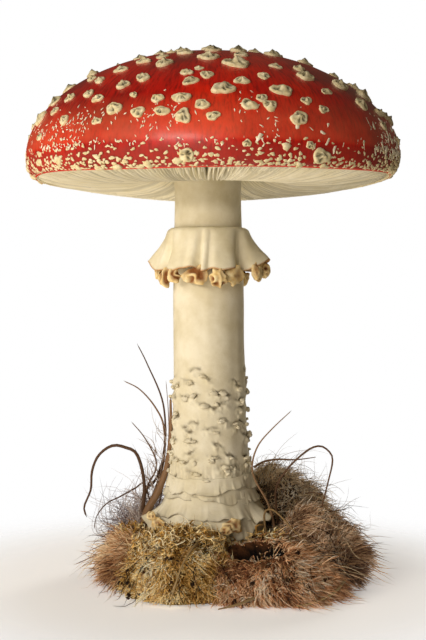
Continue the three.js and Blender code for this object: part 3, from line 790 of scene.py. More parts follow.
def stem_scales(height, bearing):
    """How far the scales lift the surface, in mm, and how much painted shade their creases get. A scale rises
    gently from below, ends above in a torn lip, and drops into a crease behind that lip."""
    random = np.random.default_rng(41)
    lift, dark = np.zeros_like(height), np.zeros_like(height)
    place = turned_points(stem_radius(height), height, bearing)
    tear = lumps(place, 1.7, 42) + 0.6 * lumps(place, 0.8, 43)
    for turn, middle, stand in scale_places():
        half_width, half_height = random.uniform(1.4, 3.4), random.uniform(1.3, 2.4)
        slant = random.uniform(-0.5, 0.5)
        across = (bearing - turn + np.pi) % (2 * np.pi) - np.pi
        across = across * stem_radius(height)
        down = middle - height - slant * across - 0.9 * tear
        body = np.exp(-((across / half_width) ** 2)) * stand
        rise = np.exp(-((np.clip(down, 0, None) / half_height) ** 2)) * smoothstep(down, -0.6, 0.2)
        lift += body * rise * (0.7 + 0.6 * tear)
        gap = np.exp(-(((down + 0.75) / 0.55) ** 2))
        lift -= 0.5 * body * gap
        # Painted shade in the crease behind the lip.
        dark += 1.1 * body * gap * np.clip(0.8 + tear, 0, 1.6)
    # Under the lowest rows the tissue is pleated into many short upright wrinkles, with painted shade between
    # them.
    wrinkled = smoothstep(height, 26, 31) * (1 - smoothstep(height, 40, 46))
    wrinkle = np.abs(lumps(place * np.array([1, 1, 0.22]), 1.5, 46))
    return lift + wrinkled * (0.55 * wrinkle - 0.2), np.clip(dark + wrinkled * (0.25 - wrinkle), 0, 1)


# Rings are closest together where the scales are.
stem_heights = np.interp(np.linspace(0, 1, STEM_RINGS), [0, 0.1, 0.78, 1], [STEM_TOP, 128, 26, 4.4])
stem_bearings = np.linspace(-np.pi, np.pi, STEM_SIDES, endpoint=False)
height_grid, bearing_grid = np.meshgrid(stem_heights, stem_bearings, indexing="ij")
scale_lift, scale_dark = stem_scales(height_grid, bearing_grid)
stem_place = turned_points(stem_radius(height_grid), height_grid, bearing_grid)
# Long shallow flutes run up the stem, and the surface is faintly uneven.
flutes = 0.16 * lumps(stem_place * np.array([1, 1, 0.08]), 3.4, 44) + 0.25 * lumps(stem_place, 15, 45)
stem_size = stem_radius(height_grid) + scale_lift + flutes * smoothstep(height_grid, 4, 20)
stem_rings = leaned(turned_points(stem_size, height_grid, bearing_grid) * MM)[None]
stem_head = np.array([LEAN[1] * MM, 0, STEM_TOP * MM])
stem_foot = np.array([LEAN[0] * MM, 0, STEM_FOOT * MM])
stem_points = with_poles(stem_rings, stem_head, stem_foot)
stem_crease = np.concatenate([[0], scale_dark.ravel(), [0]])
stem = make_mesh(
    "stem_and_scales", stem_points, lantern_faces(1, STEM_RINGS, STEM_SIDES), {"crease": stem_crease}
)

# Stem flesh: a dry, finely fibrous ivory surface, matt, painted brown in the torn creases as shade.
stem_finish = soft_flesh("ivory_stem_flesh", ("#d3c9aa", "#e6dfc8"), 9, 0.62, 0.09, crease_colour="#53452c")
stem.data.materials.append(stem_finish)
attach(stem, "root")
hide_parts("stem")

# ---- Ring ---------------------------------------------------------------------------------------
# The partial veil, which once closed the gills. It is a soft membrane that grips the stem at a folded
# collar and hangs as a skirt, with a few deep folds and a point drawn out on each side.
RING_TOP, RING_HEM = 131.2, 115.3
RING_PROFILE = [(0, 13.9), (0.05, 14.9), (0.1, 15.3), (0.3, 15.9), (0.58, 17.1), (0.83, 18.6), (1, 19.4)]
# Folds: bearing of each valley in degrees, how wide it is before and after the middle, and its depth
# in mm at the hem. Then the points where the hem is drawn out: bearing, width, reach and rise of the
# hem.
RING_FOLDS = [(-11, 6, 2.2, 3.4), (0, 3, 6, 1.2), (48, 12, 9, 6.0), (-30, 4, 5, 0.7), (-66, 4, 9, 3.4),
              (128, 12, 8, 2.6), (166, 8, 6, 1.8), (-146, 9, 11, 2.6), (-118, 6, 5, 1.3)]
RING_POINTS = [(84, 18, 3.9, 4.2), (-96, 16, 3.6, 3.2)]
RING_SIDES = 320
RING_THICKNESS = 0.85  # of the membrane, in mm


def turn_between(bearing, degrees):
    """The signed turn in degrees from a given direction to a bearing in radians."""
    return (np.degrees(bearing) - degrees + 180) % 360 - 180


def hem_height(bearing):
    """Height of the hem in mm: raised at its points and notched, with small ripples."""
    height = RING_HEM + 0.35 * np.sin(6 * bearing) + 0.3 * np.sin(11 * bearing + 1)
    height = height + 0.2 * np.sin(19 * bearing)
    for degrees, width, rise in ((-20, 8, 1.7), (36, 10, 0.9), (180, 30, 1.2)):
        height = height + rise * np.exp(-((turn_between(bearing, degrees) / width) ** 2))
    for degrees, width, _, rise in RING_POINTS:
        height = height + rise * np.exp(-((turn_between(bearing, degrees) / width) ** 2))
    return height


def skirt(share, bearing):
    """The ring's outside in mm. share is 0 at the collar and 1 at the hem. The radius follows the
    profile, less the folds, plus the drawn-out points; both grow towards the hem."""
    radius = np.interp(share, *np.array(RING_PROFILE).T)
    for degrees, before, after, depth in RING_FOLDS:
        turn = turn_between(bearing, degrees + 4 * (1 - share))
        width = np.where(turn < 0, before, after)
        depth_here = depth * (0.12 + 0.88 * share**1.1) * smoothstep(share, 0, 0.12)
        radius = radius - depth_here * np.exp(-((turn / width) ** 2))
    for degrees, width, reach, _ in RING_POINTS:
        radius = radius + reach * share**1.7 * np.exp(-((turn_between(bearing, degrees) / width) ** 2))
    height = RING_TOP + (hem_height(bearing) - RING_TOP) * share
    # Even the deepest fold stays outside the stem.
    return np.maximum(radius, 13.75 + 0.6 * share), height


def closed_band_faces(rows, columns):
    """Faces of a band whose section is a closed loop: it wraps both along its rows and round."""
    row, column = np.meshgrid(np.arange(rows), np.arange(columns), indexing="ij")
    below, beside = (row + 1) % rows, (column + 1) % columns
    corners = [(row, column), (below, column), (below, beside), (row, beside)]
    quads = np.stack([at_row * columns + at_column for at_row, at_column in corners], axis=-1)
    return [quads.reshape(-1, 4)]


ring_bearings = np.linspace(-np.pi, np.pi, RING_SIDES, endpoint=False)
outside_share = np.linspace(0, 1, 44)
inside_share = np.linspace(0.985, 0.02, 26)
ring_share = np.concatenate([outside_share, inside_share])
share_grid, ring_bearing_grid = np.meshgrid(ring_share, ring_bearings, indexing="ij")
ring_radius, ring_height = skirt(share_grid, ring_bearing_grid)
is_inside = (np.arange(len(ring_share)) >= len(outside_share))[:, None] * np.ones_like(share_grid)
ring_radius = np.maximum(ring_radius - RING_THICKNESS * is_inside, 13.0)
ring_height = ring_height - 0.35 * is_inside
ring_place = turned_points(ring_radius, ring_height, ring_bearing_grid)
ring_radius = ring_radius + 0.18 * lumps(ring_place, 3.2, 51) * share_grid
ring_points = leaned(turned_points(ring_radius, ring_height, ring_bearing_grid) * MM)
# The dried hem and the inside are ochre.
ochre_share = np.clip(smoothstep(share_grid, 0.955, 1.0) + 0.55 * is_inside * share_grid, 0, 1)
ring = make_mesh(
    "ring_skirt", ring_points, closed_band_faces(len(ring_share), RING_SIDES), {"crease": ochre_share}
)
# Veil membrane: soft, matt and ivory, drying to ochre at its torn edge.
membrane_finish = soft_flesh(
    "ivory_veil_membrane", ("#d8ceae", "#e9e2ca"), 8, 0.66, 0.04, crease_colour="#b27b3e", crease_share=0.9
)
ring.data.materials.append(membrane_finish)
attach(ring, "root")
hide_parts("ring")

# ---- Torn teeth under the ring ------------------------------------------------------------------
# Where the veil tore from the gills its edge curled up into crumbs that hang from the hem: cream lobes
# with ochre folds. Each is about as wide and as long as the solid tooth in the same place.
TOOTH_RINGS, TOOTH_SIDES = 30, 44
TOOTH_THICKNESS = 3.0  # of a tooth, away from the stem, in mm
# Bearing in degrees, width along the hem and drop in mm.
TEETH = [(-70, 6.6, 6.6), (-42, 4.6, 4.8), (-16, 9, 6.2), (12, 6.2, 6.4), (37, 8.6, 6.6), (66, 7, 6),
         (97, 8, 5.4), (126, 6.4, 6), (155, 8.4, 5), (186, 7, 6.2), (217, 8.2, 5.6), (250, 6.4, 5)]


def ball_directions(rings, sides):
    """Directions of length 1, over a ball: the upper pole, rings of points and the lower pole."""
    polar = np.linspace(0, np.pi, rings + 2)[1:-1, None]
    around = np.linspace(0, 2 * np.pi, sides, endpoint=False)
    across = np.sin(polar)
    ring = np.stack([across * np.cos(around), across * np.sin(around), np.cos(polar) + 0 * around], axis=-1)
    return np.concatenate([[[0, 0, 1.0]], ring.reshape(-1, 3), [[0, 0, -1.0]]])


def crumbs(middles, turns, sizes, seed, rings=TOOTH_RINGS, sides=TOOTH_SIDES):
    """Curled crumbs in mm: ellipsoids whose surface is folded by a ridged noise, high along thin
    lines and low between them. Also returns how deep each point is folded."""
    local = ball_directions(rings, sides)[None] * sizes[:, None, :] / 2
    # Each crumb reads its own stretch of the noise.
    shifted = local + 31.7 * np.arange(len(middles))[:, None, None]
    grain = (sizes.mean(axis=1) / 5.2)[:, None, None]
    fold = 1 - 2.3 * np.abs(lumps(shifted / grain, 2.2, seed)) + 0.35 * lumps(shifted / grain, 0.9, seed + 1)
    local = local * (1 + 0.3 * fold[..., None])
    sideways, inwards = lumps(shifted / grain, 3.1, seed + 2), lumps(shifted / grain, 2.6, seed + 3)
    local[..., :2] += np.stack([0.9 * sideways, 0.8 * inwards], axis=-1) * grain
    cos, sin = np.cos(turns)[:, None], np.sin(turns)[:, None]
    x = local[..., 0] * cos - local[..., 1] * sin
    y = local[..., 0] * sin + local[..., 1] * cos
    placed = np.stack([x, y, local[..., 2]], axis=-1) + middles[:, None, :]
    return placed, np.clip(0.62 - 0.75 * fold, 0, 1)


tooth_bearing, tooth_width, tooth_drop = np.array(TEETH).T
tooth_turn = np.radians(tooth_bearing)
hem_radius, hem_top = skirt(np.array(1.0), tooth_turn)
tooth_middle = turned_points(hem_radius - 0.9, hem_top + 0.5 - tooth_drop / 2, tooth_turn)
tooth_sizes = np.stack([tooth_width * 0.94, np.full(len(TEETH), TOOTH_THICKNESS), tooth_drop], axis=-1)
tooth_points, tooth_dark = crumbs(tooth_middle, tooth_turn, tooth_sizes, 61)
teeth = make_mesh(
    "ring_teeth",
    leaned(tooth_points * MM),
    lantern_faces(len(TEETH), TOOTH_RINGS, TOOTH_SIDES),
    {"crease": tooth_dark},
)
# Dried veil crumbs: cream where they stand out, ochre in their folds, deepening to dark brown as painted
# shade.
crumb_finish = soft_flesh(
    "ochre_veil_crumbs", ("#e0bd7a", "#f3e3b4"), 2.2, 0.75, 0.1, crease_colour="#7a4318", crease_share=0.95
)
teeth.data.materials.append(crumb_finish)
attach(teeth, "root")
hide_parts(*(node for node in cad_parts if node.startswith("ring_tooth_")))

# ---- Lips on the stem's scales ------------------------------------------------------------------
# The torn edge of many a scale has dried and curled up into a small lip. The lips are crumbs of the stem's
# own ivory tissue, grown on the scales.
LIPS = 120
LIP_RINGS, LIP_SIDES = 8, 12
lip_places = np.array(list(scale_places()))
lip_random = np.random.default_rng(66)
lip_places = lip_places[lip_random.integers(0, len(lip_places), LIPS)]
lip_turn = lip_places[:, 0] + lip_random.normal(0, 0.1, LIPS)
lip_height = lip_places[:, 1] + lip_random.normal(0, 0.5, LIPS)
lip_spans = ((1.2, 3.4), (1.0, 1.8), (0.9, 1.9))  # least and most width, depth and height in mm
lip_sizes = np.stack([lip_random.uniform(least, most, LIPS) for least, most in lip_spans], axis=-1)
lip_middle = turned_points(stem_radius(lip_height) + 0.75 * lip_places[:, 2], lip_height, lip_turn)
lip_points, lip_dark = crumbs(lip_middle, lip_turn, lip_sizes, 67, LIP_RINGS, LIP_SIDES)
# The lips get a light painted shade in their folds.
lips = make_mesh(
    "scale_lips",
    leaned(lip_points * MM),
    lantern_faces(LIPS, LIP_RINGS, LIP_SIDES),
    {"crease": 0.3 * lip_dark},
)
lips.data.materials.append(stem_finish)
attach(lips, "root")

# ---- Volva --------------------------------------------------------------------------------------
# The outer veil's remains round the bulb: two narrow ridges, and a folded collar whose torn hem hangs
# over the moss. They are flaps of the same ivory tissue, fixed along their upper edge.

# For each flap: the node that it stands for, its top and hem heights, how far the hem stands out, how
# ragged the hem is, all in mm, and how much of the way round it lies flat.
FLAPS = [
    ("volva_band_upper", 40.2, 35.6, 1.3, 1.4, 0.7),
    ("volva_band_middle", 35.4, 31.4, 1.5, 1.4, 0.5),
    (None, 32.6, 25.6, 1.7, 2.2, 0.2),
    ("volva_collar", 29.5, 20.2, 2.9, 3.4, 0.0),
]
# Where the collar's hem is drawn out in points: bearing and width in degrees, and reach and rise in mm.
COLLAR_POINTS = [(-84, 13, 3.6, 4.0), (-58, 7, 1.2, -1.0), (66, 12, 2.4, 5.0), (84, 9, 1.2, -0.5),
                 (150, 14, 2.2, 2.0)]
FLAP_SIDES = 300
FLAP_OUTSIDE, FLAP_INSIDE = 20, 12  # rings down the outside of a flap, and back up its inside
FLAP_RADIUS = 16.0  # about the bulb's radius under the flaps, in mm


def torn_flap(top, hem, stand, ragged, flat, drawn_points, seed):
    """A ring of tissue round the stem in mm, closed round its section: down the outside to the hem and
    back up inside. It lifts off the stem with the square of the way down; slow noises vary how far, and
    bend its top and hem; sharp ones tear the hem into points and crumple it. The drawn points pull the
    hem farther out, and up or down."""
    bearing = np.linspace(-np.pi, np.pi, FLAP_SIDES, endpoint=False)
    circle = turned_points(FLAP_RADIUS, 0.0, bearing)
    tear = np.abs(lumps(circle, 6.5, seed)) ** 1.4 * 1.6 + 0.5 * np.abs(lumps(circle, 2.1, seed + 1))
    swag = 1.7 * lumps(circle, 13, seed + 3)
    hem_line = hem - ragged * (tear - 0.4) + swag
    top_line = top + 0.8 * swag + 0.5 * lumps(circle, 3, seed + 6)
    lying = flat * (lumps(circle, 6, seed + 4) > 0)
    lift = np.clip(0.75 + 0.8 * lumps(circle, 7, seed + 2) - lying, 0.1, 1.6)
    share = np.concatenate([np.linspace(0, 1, FLAP_OUTSIDE), np.linspace(0.97, 0.05, FLAP_INSIDE)])[:, None]
    inside = (np.arange(len(share)) >= FLAP_OUTSIDE)[:, None]
    stand_out = stand * lift * share**2
    for degrees, width, reach, rise in drawn_points:
        drawn = np.exp(-((turn_between(bearing, degrees) / width) ** 2))
        stand_out = stand_out + reach * drawn * share**1.5
        hem_line = hem_line + rise * drawn
    height = top_line + (hem_line - top_line) * share
    spot = turned_points(FLAP_RADIUS, height * 0.35, bearing)
    folds = (0.55 * lumps(spot, 2.8, seed + 5) + 0.2 * lumps(spot, 1.1, seed + 7)) * share**0.7
    curl = 0.5 * smoothstep(share, 0.8, 1) * np.clip(lumps(circle, 4, seed + 8), 0, 1)
    thickness = 0.55 * (1 - 0.4 * share)
    radius = stem_radius(height) + 0.3 + stand_out + folds + curl - thickness * inside
    # Painted shade: darker on the inside of the flap and in the hollows of its folds; the hem is also a
    # little darker.
    dark = smoothstep(share, 0.9, 1.0) * 0.35 + 0.6 * inside + np.clip(-0.8 * folds, 0, 0.4)
    return turned_points(radius, height, bearing), np.clip(dark, 0, 1)


for index, (node, top, hem, stand, ragged, flat) in enumerate(FLAPS):
    drawn_points = COLLAR_POINTS if node == "volva_collar" else []
    points, dark = torn_flap(top, hem, stand, ragged, flat, drawn_points, 70 + 10 * index)
    name = node.replace("volva", "torn") if node else "torn_collar_fold"
    flap = make_mesh(name, leaned(points * MM), closed_band_faces(*points.shape[:2]), {"crease": dark})
    flap.data.materials.append(stem_finish)
    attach(flap, "root")
    if node:
        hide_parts(node)

# Loose crumbs of the veil lie where the collar meets the moss: bearing, distance from the axis,
# height, and size in mm.
LOOSE_CRUMBS = [(21, 22.4, 23.4, 5.4), (40, 22, 17.5, 4.5), (-56, 23, 22.5, 4.5), (-66, 24, 25, 3.6),
                (-48, 23.5, 19, 4), (-3, 24.6, 21.5, 4.4), (-13, 25, 20.6, 3.4), (7, 24.6, 19.6, 3.8),
                (13, 25, 22.4, 3), (160, 22, 24, 4), (-120, 22, 23, 4.6)]
crumb_bearing, crumb_radius, crumb_height, crumb_size = np.array(LOOSE_CRUMBS).T
crumb_turn = np.radians(crumb_bearing)
crumb_sizes = crumb_size[:, None] * np.array([1.15, 0.6, 0.85])
crumb_points, crumb_dark = crumbs(
    turned_points(crumb_radius, crumb_height, crumb_turn), crumb_turn, crumb_sizes, 65
)
loose = make_mesh(
    "loose_veil_crumbs",
    leaned(crumb_points * MM),
    lantern_faces(len(LOOSE_CRUMBS), TOOTH_RINGS, TOOTH_SIDES),
    {"crease": crumb_dark},
)
loose.data.materials.append(crumb_finish)
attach(loose, "root")

# ---- Soil and moss mounds -----------------------------------------------------------------------
# The bulb sits in a round of dark humus with a flat underside. Cushions of moss and litter are grown
# over it. Each mound here is the matted heart of a cushion; its shoots come in the next section.

# For each mound: its middle and half sizes in mm, how lumpy it is, and the two tones of its heart.
MOUNDS = {
    "soil_clod": ((6, 0, 3), (36, 33.5, 10.5), 0.08, ("#20150d", "#4a3422")),
    "moss_front_left": ((-12, -24, 5), (20, 18, 14), 0.13, ("#6a5026", "#c4a45c")),
    "moss_front_right": ((19, -25, 4), (23, 17, 14.5), 0.13, ("#56341e", "#ac7044")),
    "moss_right": ((37.5, -1, 6.5), (16.5, 24, 17), 0.13, ("#38261a", "#865c3e")),
    "moss_back_right": ((23, 19, 12), (21, 15.5, 24), 0.13, ("#2c2118", "#6c563e")),
    "moss_left": ((-27.5, -7, 6), (11, 17, 11.5), 0.13, ("#2a1a10", "#6e4c30")),
    "moss_back_left": ((-19, 18, 7), (19, 14, 14), 0.13, ("#4a3e37", "#8a7a70")),
    "moss_back": ((2, 31, 5), (21, 11.5, 12.5), 0.13, ("#2a2015", "#6a5434")),
}
MOUND_RINGS, MOUND_SIDES = 60, 96
# A burrow beside the bulb: its middle, its half sizes, and how deep it goes into a mound, in mm.
HOLLOW, HOLLOW_SIZE, HOLLOW_DEPTH = np.array([15.5, -29, 18.5]), np.array([12, 9.5, 8]), 8.5


def mound_surface(middle, size, lumpy, ball, seed):
    """A mound in mm from directions on a unit ball: an ellipsoid, swollen and dented by three sizes of
    lumps, hollowed by the burrow, and cut flat at the ground."""
    middle, size = np.array(middle), np.array(size)
    place = middle + ball * size
    rough = lumps(place, 11, seed) + 0.6 * lumps(place, 4.5, seed + 1) + 0.35 * lumps(place, 1.9, seed + 2)
    place = middle + ball * size * (1 + lumpy * rough[..., None])
    distance = np.linalg.norm((place - HOLLOW) / HOLLOW_SIZE, axis=-1, keepdims=True)
    dent = 1 - smoothstep(distance, 0.72, 1.05)
    inward = middle - place
    inward /= np.linalg.norm(inward, axis=-1, keepdims=True) + 1e-9
    place = place + inward * dent * HOLLOW_DEPTH
    place[..., 2] = np.maximum(place[..., 2], 0)
    return place, rough, dent[..., 0]


def mound_seed(node):
    """The seed of a mound's lumps."""
    return 100 + 7 * list(MOUNDS).index(node)


mound_ball = ball_directions(MOUND_RINGS, MOUND_SIDES)
for node, (middle, size, lumpy, tones) in MOUNDS.items():
    points, rough, dent = mound_surface(middle, size, lumpy, mound_ball, mound_seed(node))
    # Painted shade: darker where the lumps sink, and darkest in the burrow.
    dark = np.clip(np.clip(0.5 - 0.6 * rough, 0, 1) + dent, 0, 1)
    name = node.replace("soil_clod", "humus_clod").replace("moss", "mound")
    mound = make_mesh(name, points * MM, lantern_faces(1, MOUND_RINGS, MOUND_SIDES), {"crease": dark})
    # Matted moss and humus: rough, soft and light-absorbing, with painted shade that is nearly black in its
    # dents and in the burrow.
    matted = soft_flesh(f"matted_{name}", tones, 2.5, 0.95, 0.5, crease_colour="#080504", crease_share=1.0)
    mound.data.materials.append(matted)
    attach(mound, "root")
    "soil" if node == "soil_clod" else node
    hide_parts(node)

# ---- Moss shoots and litter fibres --------------------------------------------------------------
# The cushions are clothed in shoots and dead fibres: matted ochre moss in front on the left, rust brown
# fibres combed outwards on the right, and pale dry stuff behind on the left. Each is a thin tapered
# strand rooted in its mound. They gather in locks, and a few stray ones are longer.

# For each mound: how many strands, length, thickness, how far they are combed down and outwards, how
# far they stray, how tightly they curl, and their colours from dark to light.
COATS = {
    "moss_front_left": (6400, 3.7, 0.52, 0.9, 0.9, 0.8, ("#8e6424", "#eabc68", "#fde4a6", "#fffbe2")),
    "moss_front_right": (6400, 6.6, 0.46, 1.0, 0.6, 0.4, ("#7c5032", "#dea272", "#fbd6aa", "#fff6e2")),
    "moss_right": (6200, 6.4, 0.4, 0.8, 0.7, 0.45, ("#6a4c38", "#caa078", "#f2cea8", "#fff4e0")),
    "moss_back_right": (5200, 5.6, 0.32, 0.6, 0.75, 0.55, ("#66523a", "#ccae84", "#f0d8b2", "#fff6e4")),
    "moss_left": (5200, 6.2, 0.37, 0.8, 0.7, 0.4, ("#4a2e1e", "#a57248", "#dcac7c", "#fbe2bc")),
    "moss_back_left": (3000, 6.0, 0.28, 0.3, 0.9, 0.7, ("#7c6e66", "#bcb0a8", "#e2d8d2", "#f8f4f0")),
    "moss_back": (3800, 6.0, 0.36, 0.8, 0.7, 0.5, ("#46341e", "#94764a", "#ccae78", "#f0dcae")),
}
STRAND_STEPS, STRAND_SIDES = 5, 3
LOWEST = 0.4  # a strand's middle line keeps this far above the table, in mm


def strand_mesh(name, centres, radii, sides, shade, flat=1.0):
    """Tapered tubes along centre lines, an array (strands, steps, 3) in mm. Each step has a ring of
    points at right angles to the line, squeezed one way if flat is under 1; the last narrows to a
    point. The UV map holds the strand's shade across, and the way along it upwards."""
    count, steps, _ = centres.shape
    tangent = np.gradient(centres, axis=1)
    tangent /= np.linalg.norm(tangent, axis=-1, keepdims=True) + 1e-12
    first = np.cross(tangent, np.broadcast_to(np.array([0.31, 0.17, 0.93]), tangent.shape))
    first /= np.linalg.norm(first, axis=-1, keepdims=True) + 1e-12
    second = np.cross(first, tangent)
    angle = np.linspace(0, 2 * np.pi, sides, endpoint=False)[:, None]
    spread = np.cos(angle) * first[:, :-1, None] + flat * np.sin(angle) * second[:, :-1, None]
    rings = centres[:, :-1, None] + radii[:, :-1, None, None] * spread
    points = with_poles(rings, centres[:, 0], centres[:, -1])
    u = shade[:, None, None] * 0.94 + 0.01 + 0.04 * np.arange(sides) / sides
    v = np.broadcast_to(np.linspace(0, 1, steps)[:-1, None] * 0.96 + 0.02, (steps - 1, sides))
    ring_uv = np.stack(np.broadcast_arrays(u, v[None]), axis=-1).reshape(count, -1, 2)
    ends = [np.stack([shade * 0.94 + 0.02, np.full(count, way)], axis=-1)[:, None] for way in (0.01, 0.99)]
    uv = np.concatenate([ends[0], ring_uv, ends[1]], axis=1)
    return make_mesh(name, points * MM, lantern_faces(count, steps - 1, sides), uv=uv)


def strand_material(name, colours, roughness=0.7, root_dark=0.5):
    """Strand colours: the UV's shade value picks from the palette, and the root is painted darker than the
    tip, as shade down among the strands.
    """
    material = empty_material(name)
    uv = add_node(material, "ShaderNodeTexCoord").outputs["UV"]
    parts = add_node(material, "ShaderNodeSeparateXYZ", {0: uv})
    places = np.linspace(0.1, 0.92, len(colours))
    palette = add_node(
        material,
        "ShaderNodeValToRGB",
        {"Fac": parts.outputs["X"]},
        stops=[(p, linear(c)) for p, c in zip(places, colours)],
    )
    root = add_node(
        material,
        "ShaderNodeValToRGB",
        {"Fac": parts.outputs["Y"]},
        stops=[(0.02, (root_dark,) * 3 + (1,)), (0.6, (1, 1, 1, 1))],
    )
    colour = add_node(
        material,
        "ShaderNodeMix",
        {0: 1.0, 6: palette.outputs[0], 7: root.outputs[0]},
        data_type="RGBA",
        blend_type="MULTIPLY",
    )
    surface = add_node(
        material, "ShaderNodeBsdfPrincipled", {"Base Color": colour.outputs[2], "Roughness": roughness}
    )
    add_node(material, "ShaderNodeOutputMaterial", {"Surface": surface.outputs[0]})
    return material


def in_burrow(points):
    """True where a point lies in the burrow."""
    return np.linalg.norm((points - HOLLOW) / HOLLOW_SIZE, axis=-1) < 0.96


def covered(points, own):
    """True where a point lies well inside another mound, the bulb or the burrow."""
    hidden = np.zeros(len(points), dtype=bool)
    for node, (middle, size, _, _) in MOUNDS.items():
        if node != own:
            hidden |= (((points - middle) / (np.array(size) - 1.5)) ** 2).sum(axis=1) < 1
    axis_x = np.interp(points[:, 2], (0, STEM_TOP), LEAN)
    hidden |= np.hypot(points[:, 0] - axis_x, points[:, 1]) < stem_radius(points[:, 2]) + 1.2
    return hidden | in_burrow(points)


def mound_places(node, count, lowest, random):
    """Random uncovered places on a mound in mm, and the unit normals of its ellipsoid there."""
    middle, size, lumpy, _ = MOUNDS[node]
    level = random.uniform(lowest, 1, 5 * count)
    around = random.uniform(0, 2 * np.pi, 5 * count)
    flat = np.sqrt(1 - level**2)
    ball = np.stack([flat * np.cos(around), flat * np.sin(around), level], axis=-1)
    place, _, _ = mound_surface(middle, size, lumpy, ball, mound_seed(node))
    keep = ~covered(place, node) & (place[:, 2] > LOWEST)
    normal = ball[keep][:count] / np.array(size)
    return place[keep][:count], normal / np.linalg.norm(normal, axis=1, keepdims=True)


def unit(vectors):
    """Vectors scaled to length 1."""
    return vectors / (np.linalg.norm(vectors, axis=-1, keepdims=True) + 1e-12)


def grown_lines(root, start, bend, length, steps, curl, turns, random):
    """Lines from their roots: along start, bending away with the square of the way, and wound in a
    loose helix whose width grows with the way. They don't go below the table."""
    t = np.linspace(0, 1, steps)[None, :, None]
    long = length[:, None, None]
    line = root[:, None] + long * (0.62 * t * start[:, None] + 0.42 * t**2 * bend[:, None])
    side = unit(np.cross(start, random.normal(0, 1, root.shape)))
    other = np.cross(start, side)
    angle = random.uniform(*turns, (len(root), 1, 1)) * t
    winding = np.sin(angle) * side[:, None] + (1 - np.cos(angle)) * other[:, None]
    line = line + curl * 0.22 * long * t * winding
    line[..., 2] = np.maximum(line[..., 2], LOWEST)
    return line


def coat(node, count, length, thickness, comb, stray, curl, seed):
    """A mound's strands: they leave along the normal, pulled towards their lock, and are combed out and
    down. Their shade follows a slow patchiness and chance."""
    random = np.random.default_rng(200 + seed)
    root, normal = mound_places(node, count, -0.25, random)
    count = len(root)
    outward = unit(root * np.array([1, 1, 0]))
    lock = np.stack([lumps(root, 4.6, seed + k) for k in range(3)], axis=-1)
    tangle = np.stack([lumps(root, 11, seed + 5 + k) for k in range(3)], axis=-1)
    start = unit(normal + stray * random.normal(0, 0.45, (count, 3)) + 0.9 * lock + 0.5 * tangle)
    combed = comb * (outward * 0.75 + np.array([0, 0, -0.75]))
    bend = combed + 0.4 * stray * random.normal(0, 1, (count, 3)) + tangle
    long = length * random.uniform(0.4, 1.15, count) * (1 + 0.9 * (random.random(count) > 0.93))
    line = grown_lines(root, start, bend, long, STRAND_STEPS, curl, (2.5, 7), random)
    clear = ~in_burrow(line).any(axis=1)
    line, root, count = line[clear], root[clear], clear.sum()
    taper = 1 - 0.75 * np.linspace(0, 1, STRAND_STEPS) ** 1.5
    radii = thickness / 2 * random.uniform(0.5, 1.35, (count, 1)) * taper
    patchy = 0.5 + 0.5 * lumps(root, 6.0, seed + 9) + 0.25 * lumps(root, 2.5, seed + 10)
    return line, radii, np.clip(1.5 * (0.45 * random.random(count) + 0.55 * patchy) - 0.27, 0, 1)


for index, (node, (count, length, thickness, comb, stray, curl, colours)) in enumerate(COATS.items()):
    line, radii, shade = coat(node, count, length, thickness, comb, stray, curl, 20 * index)
    shoots = strand_mesh(node.replace("moss", "shoots"), line, radii, STRAND_SIDES, shade)
    # Dead moss and plant fibre: dry, matt, painted darker at the root as shade in the mat.
    shoots.data.materials.append(strand_material(f"dry_fibre_{node}", colours, root_dark=0.9))
    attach(shoots, "root")

# ---- Curled moss --------------------------------------------------------------------------------
# In front on the left, just under the volva, the moss is a mat of dry curled leaves and lichen lobes,
# like coral, with black gaps between them. A little of it also lies beside the burrow.
CURLS = {"moss_front_left": 3300, "moss_left": 240, "moss_front_right": 300}
CURL_STEPS = 9
# The curls are painted nearly black at the root, as the shade in the gaps between them.
curl_finish = strand_material(
    "dry_curled_moss", ("#6a4818", "#dcaa54", "#fde2a0", "#fff6d4"), roughness=0.6, root_dark=0.2
)
for index, (node, count) in enumerate(CURLS.items()):
    random = np.random.default_rng(300 + index)
    root, normal = mound_places(node, 4 * count, 0.05, random)
    # Thickest near the bulb, and gone at the foot of the mound.
    nearness = 1 - smoothstep(np.hypot(root[:, 0] + 2, root[:, 1]), 27, 44) + 0.35 * lumps(root, 6, 310)
    chosen = np.argsort(random.random(len(root)) - 1.6 * nearness)[:count]
    root, normal = root[chosen], normal[chosen]
    count = len(root)
    start = unit(normal + random.normal(0, 0.7, (count, 3)))
    bend = random.normal(0, 0.9, (count, 3))
    line = grown_lines(
        root + 1.6 * normal, start, bend, random.uniform(1.8, 4.6, count), CURL_STEPS, 2.6, (5, 9), random
    )
    line = line[~in_burrow(line).any(axis=1)]
    count = len(line)
    width = random.uniform(0.6, 1.5, (count, 1)) * (1 - 0.7 * np.linspace(0, 1, CURL_STEPS) ** 2) / 2
    curls = strand_mesh(
        node.replace("moss", "curls"), line, width, STRAND_SIDES, random.random(count), flat=0.45
    )
    curls.data.materials.append(curl_finish)
    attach(curls, "root")

# ---- Straws, wisps and crumbs -------------------------------------------------------------------
# Long dead straws and rootlets lie over the cushions and run down to the table, fine pale wisps stand
# up behind, and crumbs of soil lie in the fibres and have fallen round the foot.

